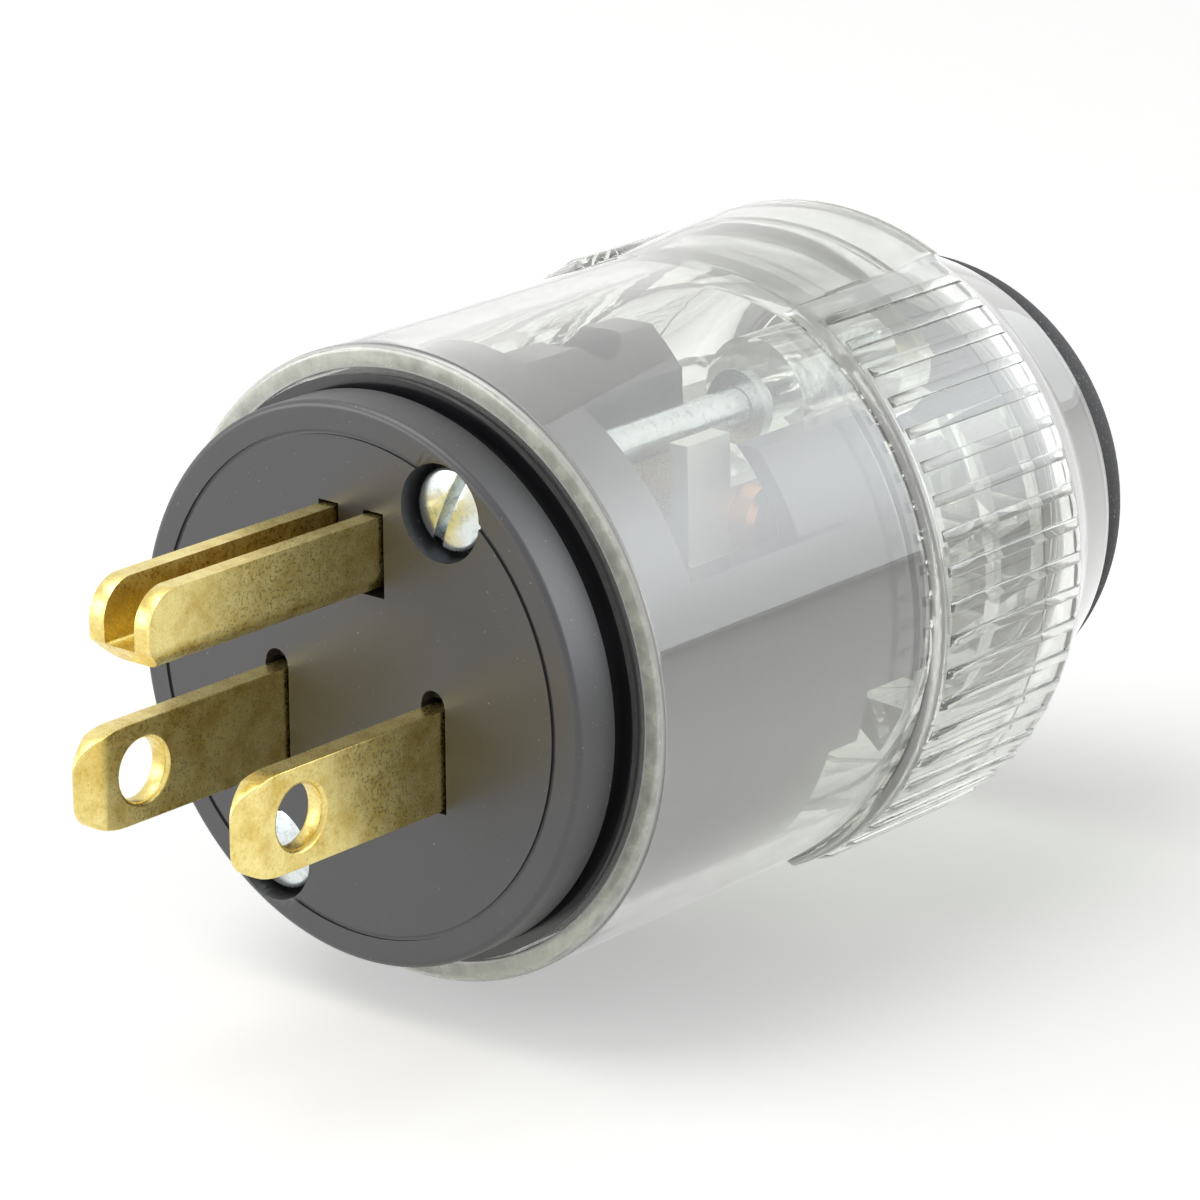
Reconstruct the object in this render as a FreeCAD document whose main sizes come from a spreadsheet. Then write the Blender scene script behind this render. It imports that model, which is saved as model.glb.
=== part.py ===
"""A grounded type B plug with a clear housing, as a parametric FreeCAD document.

The plug lies along Y: its flat face is the plane Y = 0, the blades reach to -Y and the cord
leaves at +Y. X is to the right seen from the front and the ground pin is up, on +Z.
"""
import FreeCAD, Part
import math
import os
import re
import Sketcher

# Driving sizes in millimetres, or degrees where the note says so.
SIZES = {
    "blade_spacing": (12.7, "between the middles of the two flat blades"),
    "blade_width": (6.35, "height of a blade's flat side"),
    "blade_thick": (1.5, "thickness of a blade"),
    "blade_reach": (17.6, "from the face to a blade's tip"),
    "blade_drop": (3.15, "from the plug's axis down to the blades' middle line"),
    "blade_tip_round": (2.0, "corner radius of a blade's tip"),
    "blade_tip_bevel": (0.45, "bevel round a blade's tip"),
    "blade_hole_r": (1.98, "radius of the detent hole in a blade"),
    "blade_hole_reach": (12.4, "from the face to the detent hole"),
    "blade_hole_bevel": (0.25, "bevel of the detent hole's edges"),
    "ground_rise": (11.89, "from the blades' middle line up to the ground pin's middle"),
    "ground_width": (4.8, "across the folded ground pin"),
    "ground_height": (4.9, "from the ground pin's fold to its open edges"),
    "ground_wall": (1.2, "sheet thickness of the ground pin"),
    "ground_fold": (1.5, "outer radius of the ground pin's two folds"),
    "ground_lead": (2.1, "how far the ground pin reaches past the blades"),
    "ground_bevel": (1.4, "cut corners of the ground pin's tip"),
    "slot_gap": (0.2, "room round the blades and the pin in their slots"),
    "slot_eye_r": (0.9, "radius of the round relief at the top of a blade's slot"),
    "slot_eye_depth": (1.2, "depth of that relief"),
    "face_r": (17.7, "radius of the face"),
    "face_edge": (0.4, "bevel of the face's rim"),
    "rim_depth": (3.3, "depth of the face's rim"),
    "neck_inset": (0.8, "how far the neck behind the rim is set in"),
    "face_depth": (4.1, "thickness of the face plate, neck and all"),
    "ring_inset": (1.93, "from the rim in to the ring engraved in the face"),
    "ring_width": (0.3, "width of that ring"),
    "ring_depth": (0.2, "depth of that ring"),
    "screw_inset": (4.42, "from the housing's bore in to an assembly screw's axis"),
    "screw_angle": (60.0, "degrees from the side up to the upper assembly screw"),
    "screw_head_r": (2.65, "radius of an assembly screw's head"),
    "screw_head_high": (1.7, "height of an assembly screw's head"),
    "screw_sunk": (0.9, "how far the head lies below the face"),
    "screw_shank_r": (1.25, "radius of the plain shank"),
    "screw_thread_r": (1.42, "radius of the threaded end"),
    "screw_thread_long": (11.0, "length of the threaded end"),
    "screw_lead": (1.0, "how far the thread starts in front of the boss"),
    "screw_hole_gap": (0.25, "room round the thread where the screw passes a plate"),
    "screw_well_gap": (0.4, "room round the head in its well"),
    "screw_slot_wide": (0.8, "width of a screwdriver slot"),
    "screw_slot_deep": (0.8, "depth of a screwdriver slot"),
    "keeper_r": (2.3, "radius of the keeper washer on each shank"),
    "keeper_thick": (0.8, "thickness of the keeper washer"),
    "fit_gap": (0.05, "room between a washer or plate and the screw in it"),
    "shell_over": (2.38, "how far the housing stands out past the face's rim"),
    "shell_wall": (1.46, "thickness of the housing's front wall"),
    "shell_front": (4.85, "from the face back to the housing's lip"),
    "lip_edge": (0.4, "bevel of the housing's lip"),
    "shoulder_back": (33.3, "from the face to the shoulder inside the housing"),
    "shoulder_wide": (1.42, "how far that shoulder stands in from the bore"),
    "throat_back": (51.0, "from the face to the rear end of the tapered throat"),
    "throat_taper": (3.0, "how much the throat's radius shrinks to its rear end"),
    "rear_step": (1.0, "step from the throat's rear end in to the rear opening"),
    "rear_back": (56.7, "from the face to the housing's rear face"),
    "rear_wall": (2.4, "thickness of the wall round the rear opening"),
    "knee_back": (50.8, "from the face to the knee of the tapered rear"),
    "knee_drop": (2.18, "how far that knee lies below the housing's outside"),
    "grip_front": (31.0, "from the face to the front of the grip pads"),
    "grip_back": (46.6, "from the face to the rear of the grip pads"),
    "grip_high": (0.65, "how far the grip pads stand out of the housing"),
    "grip_half_angle": (64.5, "degrees from the side to a grip pad's end"),
    "panel_front": (32.2, "from the face to the front of the two smooth panels"),
    "panel_high": (1.1, "how far a smooth panel stands out at its rear"),
    "rib_high": (0.28, "how far a rib stands out of its pad"),
    "rib_angle": (2.1, "degrees across a rib"),
    "rib_pitch": (6.2, "degrees from rib to rib"),
    "boss_r": (3.9, "radius of a screw boss in the housing"),
    "boss_front": (29.0, "from the face to the front of the bosses"),
    "boss_end": (2.0, "how far a boss reaches past its screw's tip"),
    "key_front": (28.5, "from the face to the front of the inner keys"),
    "key_high": (1.2, "how far a key stands in from the bore"),
    "key_angle": (9.0, "degrees across a key"),
    "key_upper_angle": (60.0, "degrees from the side up to the upper key"),
    "key_lower_angle": (-40.0, "degrees from the side to the lower key"),
    "carrier_gap": (0.22, "room between the carrier and the housing"),
    "carrier_floor": (4.0, "thickness of the carrier's floor"),
    "carrier_wall": (1.6, "thickness of the carrier's wall"),
    "skirt_back": (10.5, "from the face to the rear of the full skirt"),
    "wall_back": (26.0, "from the face to the rear of the side walls"),
    "wall_low_back": (23.2, "from the face to the rear of the lower wall"),
    "wall_step": (6.2, "depth below the axis where the wall steps forward"),
    "window_sill": (7.2, "height over the axis where the wall is cut away"),
    "tongue_inset": (0.6, "how far the tongues lie inside the wall's outside"),
    "tongue_wall": (1.2, "thickness of a tongue"),
    "tongue_root": (4.3, "how far a tongue laps over the side wall"),
    "tongue_gap": (0.8, "room between a tongue's end and the housing's shoulder"),
    "tongue_top": (12.0, "height of a tongue over the axis"),
    "tongue_low": (3.4, "depth of a tongue below the axis"),
    "tower_half": (3.8, "half width of the ground tower"),
    "tower_wall": (1.0, "side wall of the ground tower"),
    "tower_base": (4.5, "thickness of the tower under the ground pin"),
    "tower_gap": (1.61, "from the carrier's radius down to the top of the tower's post"),
    "tower_back": (26.0, "from the face to the tower's rear"),
    "tower_cut": (2.3, "cut corners of the post's upper edges"),
    "web_thick": (2.4, "thickness of the wall between the two blades"),
    "tab_front": (17.2, "from the face to a terminal tab's front edge"),
    "tab_wide": (9.0, "width of a terminal tab along the plug"),
    "terminal_inset": (2.5, "from a terminal tab's rear edge to its screw"),
    "tab_edge": (1.9, "metal left over the screw hole in a terminal tab"),
    "wire_room": (2.4, "room for the wire between tab and clamp"),
    "clamp_thick": (1.4, "thickness of a clamp plate"),
    "clamp_gap": (0.18, "room between a side clamp's leg and the carrier's wall"),
    "clamp_leg": (4.1, "width of that leg along the plug"),
    "clamp_margin": (0.5, "how far a side clamp lies inside its tab's ends"),
    "ledge_gap": (2.5, "room between a side clamp's ledge and the carrier's wall"),
    "terminal_head_r": (2.2, "radius of a terminal screw's head"),
    "terminal_head_high": (1.8, "height of a terminal screw's head"),
    "terminal_shank_r": (1.5, "radius of a terminal screw's thread"),
    "terminal_tail": (0.9, "how far a terminal screw comes through its tab"),
    "relief_gap": (0.5, "room round and below the ground screw's tail"),
    "jaw_gap": (0.3, "room between a cord jaw and what it bears on"),
    "jaw_in_r": (6.6, "inner radius of the open cord jaws"),
    "jaw_back": (49.0, "from the face to the rear of the cord jaws"),
    "jaw_half_angle": (36.0, "degrees from a jaw's middle to its end"),
    "jaw_tooth": (0.9, "height of a tooth inside a jaw"),
    "jaw_pocket_depth": (3.6, "depth of the pockets in a jaw's back"),
    "jaw_pocket_high": (4.1, "height of one of those pockets"),
    "jaw_rib": (2.2, "wall left beside those pockets"),
    "cord_r": (5.0, "radius of the cord hole in the rubber seal"),
    "seal_plug_long": (4.6, "length of the seal inside the rear opening"),
    "seal_gap": (0.15, "room round the seal in the rear opening"),
    "seal_high": (4.7, "how far the seal stands out of the rear face"),
    "seal_inset": (0.2, "how far the seal's edge lies inside the rear face"),
    "seal_face_r": (12.0, "radius of the seal's flat rear"),
    "seal_dome_r": (5.2, "radius of the seal's rounded edge"),
}
JAW_TEETH = 5
SIDES = {"line": 1, "neutral": -1}

# Places worked out from those sizes, as expressions for the features below.
BLADE_LOW = "(-blade_drop - blade_width / 2)"
BLADE_HIGH = "(blade_width / 2 - blade_drop)"
GROUND_MID = "(ground_rise - blade_drop)"
GROUND_LOW = f"({GROUND_MID} - ground_height / 2)"
GROUND_HIGH = f"({GROUND_MID} + ground_height / 2)"
SHELL_R = "(face_r + shell_over)"
BORE_R = f"({SHELL_R} - shell_wall)"
THROAT_R = f"({BORE_R} - shoulder_wide)"
THROAT_END_R = f"({THROAT_R} - throat_taper)"
REAR_BORE_R = f"({THROAT_END_R} - rear_step)"
REAR_R = f"({REAR_BORE_R} + rear_wall)"
RING_R = "(face_r - ring_inset)"
SCREW_X = f"(({BORE_R} - screw_inset) * cos(screw_angle))"
SCREW_Z = f"(({BORE_R} - screw_inset) * sin(screw_angle))"
CARRIER_R = f"({BORE_R} - carrier_gap)"
CARRIER_IN_R = f"({CARRIER_R} - carrier_wall)"
FLOOR_BACK = "(face_depth + carrier_floor)"
TAB_BACK = "(tab_front + tab_wide)"
TAB_FACE = "(blade_spacing / 2 + blade_thick / 2)"
CLAMP_OUT = f"({TAB_FACE} + wire_room + clamp_thick)"
TERMINAL_BACK = f"({TAB_BACK} - terminal_inset)"
TAB_TOP = f"({SCREW_Z} - screw_thread_r - 2 * screw_hole_gap)"
TERMINAL_HIGH = f"({TAB_TOP} - tab_edge - terminal_shank_r)"
CLAMP_FOOT = f"({TERMINAL_HIGH} - terminal_shank_r - screw_hole_gap)"
CLAMP_HIGH = f"(sqrt({CARRIER_IN_R} ^ 2 - {CLAMP_OUT} ^ 2) - clamp_gap)"
CLAMP_FRONT = "(tab_front + clamp_margin)"
CLAMP_BACK = f"({TAB_BACK} - clamp_margin)"
GROUND_BACK = "(tower_back - tower_wall)"
GROUND_SCREW = f"({GROUND_BACK} - clamp_leg)"
TONGUE_BACK = "(shoulder_back - tongue_gap)"
TOWER_FLOOR = f"({GROUND_LOW} - slot_gap)"
TOWER_ROOM = f"({GROUND_HIGH} + slot_gap + terminal_head_high)"
TOWER_TOP = f"({CARRIER_R} - tower_gap)"
HEAD_SEAT = "(screw_sunk + screw_head_high)"
SCREW_LONG = "(boss_front - screw_lead + screw_thread_long - screw_sunk)"

doc = FreeCAD.newDocument("type_b_plug")
sheet = doc.addObject("Spreadsheet::Sheet", "Sizes")
for row, (alias, (size, note)) in enumerate(SIZES.items(), start=1):
    sheet.set(f"A{row}", note)
    sheet.set(f"B{row}", str(size))
    sheet.setAlias(f"B{row}", alias)
doc.recompute()


def cells(text):
    """Turns the size names in an expression into references to the sheet's cells."""
    return re.sub(r"[a-z_]+", lambda word: f"Sizes.{word[0]}" if word[0] in SIZES else word[0], text)


def value(text):
    """What an expression comes to, in millimetres or degrees."""
    result = sheet.evalExpression(cells(text))
    return float(getattr(result, "Value", result))


def bind(thing, prop, text):
    """Ties a property to the sheet."""
    thing.setExpression(prop, cells(text))


def new_body(label):
    """An empty piece with the name that its file gets."""
    body = doc.addObject("PartDesign::Body", label)
    body.Label = label
    return body


def origin_part(body, role):
    """One of a piece's own origin planes or axes."""
    return next(part for part in body.Origin.OriginFeatures if part.Role == role)


def new_sketch(body, name, role, level="0"):
    """A sketch on an origin plane; level moves it along the plane's axis, X, Y or Z."""
    sketch = body.newObject("Sketcher::SketchObject", f"{body.Name}_{name}")
    sketch.AttachmentSupport = [(origin_part(body, role), "")]
    sketch.MapMode = "FlatFace"
    # The XZ plane faces -Y, so a level along Y counts the other way there.
    bind(sketch, "AttachmentOffset.Base.z", f"-({level})" if role == "XZ_Plane" else level)
    return sketch


def swing(sketch, angle):
    """Turns a sketch on the XY plane about the plug's axis."""
    about = FreeCAD.Rotation(FreeCAD.Vector(0, 1, 0), value(angle))
    sketch.AttachmentOffset = FreeCAD.Placement(FreeCAD.Vector(), about)
    bind(sketch, "AttachmentOffset.Rotation.Angle", angle)


def pin_point(sketch, shape, point, x, y):
    """Fixes a point of a sketch at two expressions."""
    for kind, text, axis in (("DistanceX", x, -2), ("DistanceY", y, -1)):
        if text == "0":
            sketch.addConstraint(Sketcher.Constraint("PointOnObject", shape, point, axis))
        else:
            index = sketch.addConstraint(Sketcher.Constraint(kind, -1, 1, shape, point, value(text)))
            bind(sketch, f"Constraints[{index}]", text)


def set_radius(sketch, shape, radius):
    """Fixes the radius of an arc or circle at an expression."""
    index = sketch.addConstraint(Sketcher.Constraint("Radius", shape, value(radius)))
    bind(sketch, f"Constraints[{index}]", radius)


def arc_between(here, there, radius, turn):
    """The short arc from one point to another that turns left or right."""
    half = (there - here) / 2
    side = FreeCAD.Vector(-half.y, half.x, 0).normalize() * (1 if turn == "left" else -1)
    centre = here + half + side * math.sqrt(radius ** 2 - half.Length ** 2)
    first, last = (here, there) if turn == "left" else (there, here)
    start = math.atan2(first.y - centre.y, first.x - centre.x)
    end = math.atan2(last.y - centre.y, last.x - centre.x)
    return Part.ArcOfCircle(Part.Circle(centre, FreeCAD.Vector(0, 0, 1), radius), start, end)


def draw_outline(sketch, corners):
    """A closed outline: corners are (x, y), or (x, y, radius, turn) where an arc leaves them."""
    base = sketch.GeometryCount
    places = [FreeCAD.Vector(value(corner[0]), value(corner[1]), 0) for corner in corners]
    ends = []
    for here, there, corner in zip(places, places[1:] + places[:1], corners):
        if len(corner) == 2:
            sketch.addGeometry(Part.LineSegment(here, there))
            ends.append((1, 2))
        else:
            sketch.addGeometry(arc_between(here, there, value(corner[2]), corner[3]))
            ends.append((1, 2) if corner[3] == "left" else (2, 1))
    for i, corner in enumerate(corners):
        after = (i + 1) % len(corners)
        joint = Sketcher.Constraint("Coincident", base + i, ends[i][1], base + after, ends[after][0])
        sketch.addConstraint(joint)
        pin_point(sketch, base + i, ends[i][0], corner[0], corner[1])
        if len(corner) > 2:
            set_radius(sketch, base + i, corner[2])


def draw_box(sketch, x_low, y_low, x_high, y_high):
    """A rectangle between two corners."""
    draw_outline(sketch, [(x_low, y_low), (x_high, y_low), (x_high, y_high), (x_low, y_high)])


def draw_circle(sketch, x, y, radius):
    """A circle at a place."""
    middle = FreeCAD.Vector(value(x), value(y), 0)
    shape = sketch.addGeometry(Part.Circle(middle, FreeCAD.Vector(0, 0, 1), value(radius)))
    pin_point(sketch, shape, 3, x, y)
    set_radius(sketch, shape, radius)


def add_feature(body, kind, sketch):
    """A feature of a piece, made from a sketch."""
    feature = body.newObject(f"PartDesign::{kind}", f"{sketch.Name}_{kind.lower()}")
    feature.Profile = sketch
    return feature


def settle(body, before, grows):
    """Builds the newest feature and sees that it added or cut what it should."""
    doc.recompute()
    after = body.Shape.Volume
    if (after > before) != grows or abs(after - before) < 1e-6:
        raise RuntimeError(f"{body.Tip.Name} left {body.Label} at {after:.3f} cubic millimetres")


def volume_of(body):
    """A piece's volume so far."""
    return 0.0 if body.Shape.isNull() else body.Shape.Volume


def pad(body, sketch, length, side="normal"):
    """Adds a sketch's section over a length: along its plane's normal, against it, or both ways."""
    before = volume_of(body)
    feature = add_feature(body, "Pad", sketch)
    feature.SideType = "Symmetric" if side == "both" else "One side"
    feature.Reversed = side == "against"
    bind(feature, "Length", length)
    settle(body, before, grows=True)
    return feature


def pocket(body, sketch, length=None, side="against"):
    """Cuts a sketch's section to a depth, or right through where no length is given."""
    before = volume_of(body)
    feature = add_feature(body, "Pocket", sketch)
    feature.SideType = "Symmetric" if side == "both" else "One side"
    feature.Reversed = side == "normal"
    if length is None:
        feature.Type = "ThroughAll"
    else:
        bind(feature, "Length", length)
    settle(body, before, grows=False)
    return feature


def turn(body, sketch, axis="H_Axis", angle="360", cut=False):
    """Turns a sketch's section about one of its own axes, evenly to both sides of its plane."""
    before = volume_of(body)
    feature = add_feature(body, "Groove" if cut else "Revolution", sketch)
    feature.ReferenceAxis = (sketch, [axis])
    feature.Midplane = True
    bind(feature, "Angle", angle)
    settle(body, before, grows=not cut)
    return feature


def cut_contact_slots(body, level):
    """The two blade slots, the folded slot of the ground pin and the two screw holes."""
    blades = new_sketch(body, "blade_slots", "XZ_Plane", level)
    for side in SIDES.values():
        middle = f"{side} * blade_spacing / 2"
        half = "(blade_thick / 2 + slot_gap)"
        draw_box(blades, f"{middle} - {half}", f"{BLADE_LOW} - slot_gap",
                 f"{middle} + {half}", f"{BLADE_HIGH} + slot_gap")
    pocket(body, blades)
    ground = new_sketch(body, "ground_slot", "XZ_Plane", level)
    draw_outline(ground, ground_section("slot_gap"))
    pocket(body, ground)
    screws = new_sketch(body, "screw_holes", "XZ_Plane", level)
    for side in SIDES.values():
        draw_circle(screws, f"{side} * {SCREW_X}", f"{side} * {SCREW_Z}", "screw_thread_r + screw_hole_gap")
    pocket(body, screws)


def ground_section(room):
    """The folded ground pin's section, open upwards, with room all round it."""
    out = f"(ground_width / 2 + {room})"
    inner = f"(ground_width / 2 - ground_wall - {room})"
    low = f"({GROUND_LOW} - {room})"
    high = f"({GROUND_HIGH} + {room})"
    sill = f"({GROUND_LOW} + ground_wall + {room})"
    fold = f"(ground_fold + {room})"
    return [(f"-{out} + {fold}", low), (f"{out} - {fold}", low, fold, "left"), (out, f"{low} + {fold}"),
            (out, high), (inner, high), (inner, sill), (f"-{inner}", sill), (f"-{inner}", high),
            (f"-{out}", high), (f"-{out}", f"{low} + {fold}", fold, "left")]


def make_front_face():
    """The moulded black face: rim, neck, engraved ring, slots and the wells of the screws."""
    body = new_body("front_face")
    plate = new_sketch(body, "plate", "YZ_Plane")
    draw_outline(plate, [
        ("0", "0"), ("face_depth", "0"), ("face_depth", "face_r - neck_inset"),
        ("rim_depth", "face_r - neck_inset"), ("rim_depth", "face_r"), ("face_edge", "face_r"),
        ("0", "face_r - face_edge")])
    turn(body, plate)
    ring = new_sketch(body, "ring", "YZ_Plane")
    draw_box(ring, "0", f"{RING_R} - ring_width / 2", "ring_depth", f"{RING_R} + ring_width / 2")
    turn(body, ring, cut=True)
    cut_contact_slots(body, "0")
    wells = new_sketch(body, "wells", "XZ_Plane")
    eyes = new_sketch(body, "eyes", "XZ_Plane")
    for side in SIDES.values():
        draw_circle(wells, f"{side} * {SCREW_X}", f"{side} * {SCREW_Z}", "screw_head_r + screw_well_gap")
        draw_circle(eyes, f"{side} * blade_spacing / 2", f"{BLADE_HIGH} + slot_gap", "slot_eye_r")
    pocket(body, wells, HEAD_SEAT)
    pocket(body, eyes, "slot_eye_depth")
    return body


def make_contact_carrier():
    """The moulded black carrier behind the face: floor, skirt, lower wall, tower and tongues."""
    body = new_body("contact_carrier")
    cup = new_sketch(body, "cup", "YZ_Plane")
    draw_outline(cup, [
        ("face_depth", "0"), (FLOOR_BACK, "0"), (FLOOR_BACK, CARRIER_IN_R), ("wall_back", CARRIER_IN_R),
        ("wall_back", CARRIER_R), ("face_depth", CARRIER_R)])
    turn(body, cup)
    window = new_sketch(body, "window", "YZ_Plane")
    draw_box(window, "skirt_back", "window_sill", "wall_back + 1", f"{CARRIER_R} + 1")
    pocket(body, window, side="both")
    step = new_sketch(body, "step", "YZ_Plane")
    draw_box(step, "wall_low_back", f"-{CARRIER_R} - 1", "wall_back + 1", "-wall_step")
    pocket(body, step, side="both")
    out = f"({CARRIER_R} - tongue_inset)"
    inner = f"({out} - tongue_wall)"
    for name, side in SIDES.items():
        tongue = new_sketch(body, f"{name}_tongue", "XZ_Plane", TONGUE_BACK)
        draw_outline(tongue, [
            (f"{side} * sqrt({out}^2 - tongue_low^2)", f"{-side} * tongue_low", out, "left"),
            (f"{side} * sqrt({out}^2 - tongue_top^2)", f"{side} * tongue_top"),
            (f"{side} * sqrt({inner}^2 - tongue_top^2)", f"{side} * tongue_top", inner, "right"),
            (f"{side} * sqrt({inner}^2 - tongue_low^2)", f"{-side} * tongue_low")])
        pad(body, tongue, f"{TONGUE_BACK} - wall_back + tongue_root")
    web = new_sketch(body, "web", "XZ_Plane", "wall_low_back")
    draw_box(web, "-web_thick / 2", f"-{CARRIER_IN_R} - carrier_wall / 2", "web_thick / 2",
             f"{TOWER_FLOOR} - tower_base / 2")
    pad(body, web, f"wall_low_back - {FLOOR_BACK} + carrier_floor / 2")
    tower = new_sketch(body, "tower", "XZ_Plane", "tower_back")
    draw_outline(tower, [
        ("-tower_half", f"{TOWER_FLOOR} - tower_base"), ("tower_half", f"{TOWER_FLOOR} - tower_base"),
        ("tower_half", f"{TOWER_TOP} - tower_cut"), ("tower_half - tower_cut", TOWER_TOP),
        ("-tower_half + tower_cut", TOWER_TOP), ("-tower_half", f"{TOWER_TOP} - tower_cut")])
    pad(body, tower, f"tower_back - {FLOOR_BACK} + carrier_floor / 2")
    cavity = new_sketch(body, "cavity", "XZ_Plane", FLOOR_BACK)
    draw_box(cavity, "-tower_half + tower_wall", TOWER_FLOOR, "tower_half - tower_wall",
             TOWER_ROOM)
    pocket(body, cavity)
    cut_contact_slots(body, "face_depth")
    relief = new_sketch(body, "relief", "XY_Plane", TOWER_FLOOR)
    draw_circle(relief, "0", GROUND_SCREW, "terminal_shank_r + relief_gap")
    pocket(body, relief, "terminal_tail + relief_gap")
    access = new_sketch(body, "access", "XY_Plane", TOWER_TOP)
    draw_circle(access, "0", GROUND_SCREW, "terminal_head_r + relief_gap / 2")
    pocket(body, access, f"{TOWER_TOP} - {TOWER_ROOM} + relief_gap")
    return body


def make_blade(name):
    """A flat brass blade with its bevelled tip, detent hole and upright terminal tab."""
    side = SIDES[name]
    body = new_body(f"{name}_blade")
    flat = new_sketch(body, "flat", "YZ_Plane", f"{side} * blade_spacing / 2")
    draw_outline(flat, [
        ("-blade_reach + blade_tip_round", BLADE_LOW), (TAB_BACK, BLADE_LOW), (TAB_BACK, TAB_TOP),
        ("tab_front", TAB_TOP), ("tab_front", BLADE_HIGH),
        ("-blade_reach + blade_tip_round", BLADE_HIGH, "blade_tip_round", "left"),
        ("-blade_reach", f"{BLADE_HIGH} - blade_tip_round"),
        ("-blade_reach", f"{BLADE_LOW} + blade_tip_round", "blade_tip_round", "left")])
    blank = pad(body, flat, "blade_thick", side="both")
    before = body.Shape.Volume
    tip_end = value("-blade_reach + blade_tip_round")
    tip_edges = [f"Edge{i}" for i, edge in enumerate(blank.Shape.Edges, start=1)
                 if edge.BoundBox.YMax < tip_end + 1e-4 and edge.BoundBox.XLength < 1e-4]
    bevel = body.newObject("PartDesign::Chamfer", f"{name}_tip_bevel")
    bevel.Base = (blank, tip_edges)
    bind(bevel, "Size", "blade_tip_bevel")
    settle(body, before, grows=False)
    holes = new_sketch(body, "holes", "YZ_Plane", f"{side} * blade_spacing / 2")
    draw_circle(holes, "-blade_hole_reach", "-blade_drop", "blade_hole_r")
    draw_circle(holes, TERMINAL_BACK, TERMINAL_HIGH, "terminal_shank_r + fit_gap")
    drilled = pocket(body, holes, "2 * blade_thick", side="both")
    before = body.Shape.Volume
    rim_edges = [f"Edge{i}" for i, edge in enumerate(drilled.Shape.Edges, start=1)
                 if edge.isClosed() and edge.BoundBox.YMax < 0]
    eased = body.newObject("PartDesign::Chamfer", f"{name}_hole_bevel")
    eased.Base = (drilled, rim_edges)
    bind(eased, "Size", "blade_hole_bevel")
    settle(body, before, grows=False)
    return body


def make_ground_pin():
    """The ground pin, folded from brass sheet to a channel, with a flat terminal strip behind."""
    body = new_body("ground_pin")
    reach = "(blade_reach + ground_lead)"
    root = f"({GROUND_SCREW} - clamp_leg)"
    channel = new_sketch(body, "channel", "XZ_Plane", root)
    draw_outline(channel, ground_section("0"))
    pad(body, channel, f"{root} + {reach}")
    strip = new_sketch(body, "strip", "XZ_Plane", GROUND_BACK)
    draw_box(strip, "-ground_width / 2", GROUND_LOW, "ground_width / 2", f"{GROUND_LOW} + ground_wall")
    pad(body, strip, f"{GROUND_BACK} - {root} + ground_wall")
    for name, level, away in (("upper", GROUND_HIGH, "-"), ("lower", GROUND_LOW, "+")):
        corner = new_sketch(body, f"{name}_corner", "YZ_Plane")
        points = [(f"-{reach} - 1", f"{level} {away} ground_bevel"), (f"-{reach}", f"{level} {away} ground_bevel"),
                  (f"-{reach} + ground_bevel", level), (f"-{reach} - 1", level)]
        draw_outline(corner, points)
        pocket(body, corner, "2 * ground_width", side="both")
    hole = new_sketch(body, "hole", "XY_Plane", f"{GROUND_LOW} + ground_wall")
    draw_circle(hole, "0", GROUND_SCREW, "terminal_shank_r + fit_gap")
    pocket(body, hole, "2 * ground_wall")
    return body


def make_side_clamp(name):
    """A plated steel clamp: its foot bears on the blade's tab, the screw's head on its low end."""
    side = SIDES[name]
    body = new_body(f"{name}_clamp")
    section = new_sketch(body, "section", "XZ_Plane", CLAMP_BACK)
    draw_outline(section, [
        (f"{side} * {TAB_FACE}", f"{CLAMP_FOOT} - clamp_thick"),
        (f"{side} * {CLAMP_OUT}", f"{CLAMP_FOOT} - clamp_thick"),
        (f"{side} * {CLAMP_OUT}", CLAMP_HIGH), (f"{side} * ({CLAMP_OUT} - clamp_thick)", CLAMP_HIGH),
        (f"{side} * ({CLAMP_OUT} - clamp_thick)", CLAMP_FOOT), (f"{side} * {TAB_FACE}", CLAMP_FOOT)])
    pad(body, section, f"{CLAMP_BACK} - {CLAMP_FRONT}")
    shelf = new_sketch(body, "shelf", "YZ_Plane")
    draw_box(shelf, f"{CLAMP_FRONT} + clamp_leg", f"{TERMINAL_HIGH} + terminal_head_r", f"{CLAMP_BACK} + 1",
             f"{CLAMP_HIGH} + 1")
    pocket(body, shelf, side="both")
    ledge = new_sketch(body, "ledge", "XZ_Plane", f"{CLAMP_FRONT} + clamp_leg - clamp_margin")
    draw_box(ledge, f"{side} * ({CLAMP_OUT} - clamp_thick / 2)", f"{CLAMP_FOOT} - clamp_thick",
             f"{side} * ({CARRIER_IN_R} - ledge_gap)", CLAMP_FOOT)
    pad(body, ledge, "clamp_leg - clamp_margin")
    hole = new_sketch(body, "hole", "YZ_Plane", f"{side} * ({CLAMP_OUT} - clamp_thick / 2)")
    draw_circle(hole, TERMINAL_BACK, TERMINAL_HIGH, "terminal_shank_r + fit_gap")
    pocket(body, hole, "2 * clamp_thick", side="both")
    return body


def make_ground_clamp():
    """The flat clamp washer under the ground screw's head."""
    body = new_body("ground_clamp")
    half = "(ground_width / 2)"
    plate = new_sketch(body, "plate", "XY_Plane", f"{GROUND_LOW} + ground_wall")
    draw_box(plate, f"-{half}", f"{GROUND_SCREW} - clamp_leg + clamp_margin", half, GROUND_BACK)
    pad(body, plate, "clamp_thick")
    hole = new_sketch(body, "hole", "XY_Plane", f"{GROUND_LOW} + ground_wall + clamp_thick")
    draw_circle(hole, "0", GROUND_SCREW, "terminal_shank_r + fit_gap")
    pocket(body, hole, "2 * clamp_thick")
    return body


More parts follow.
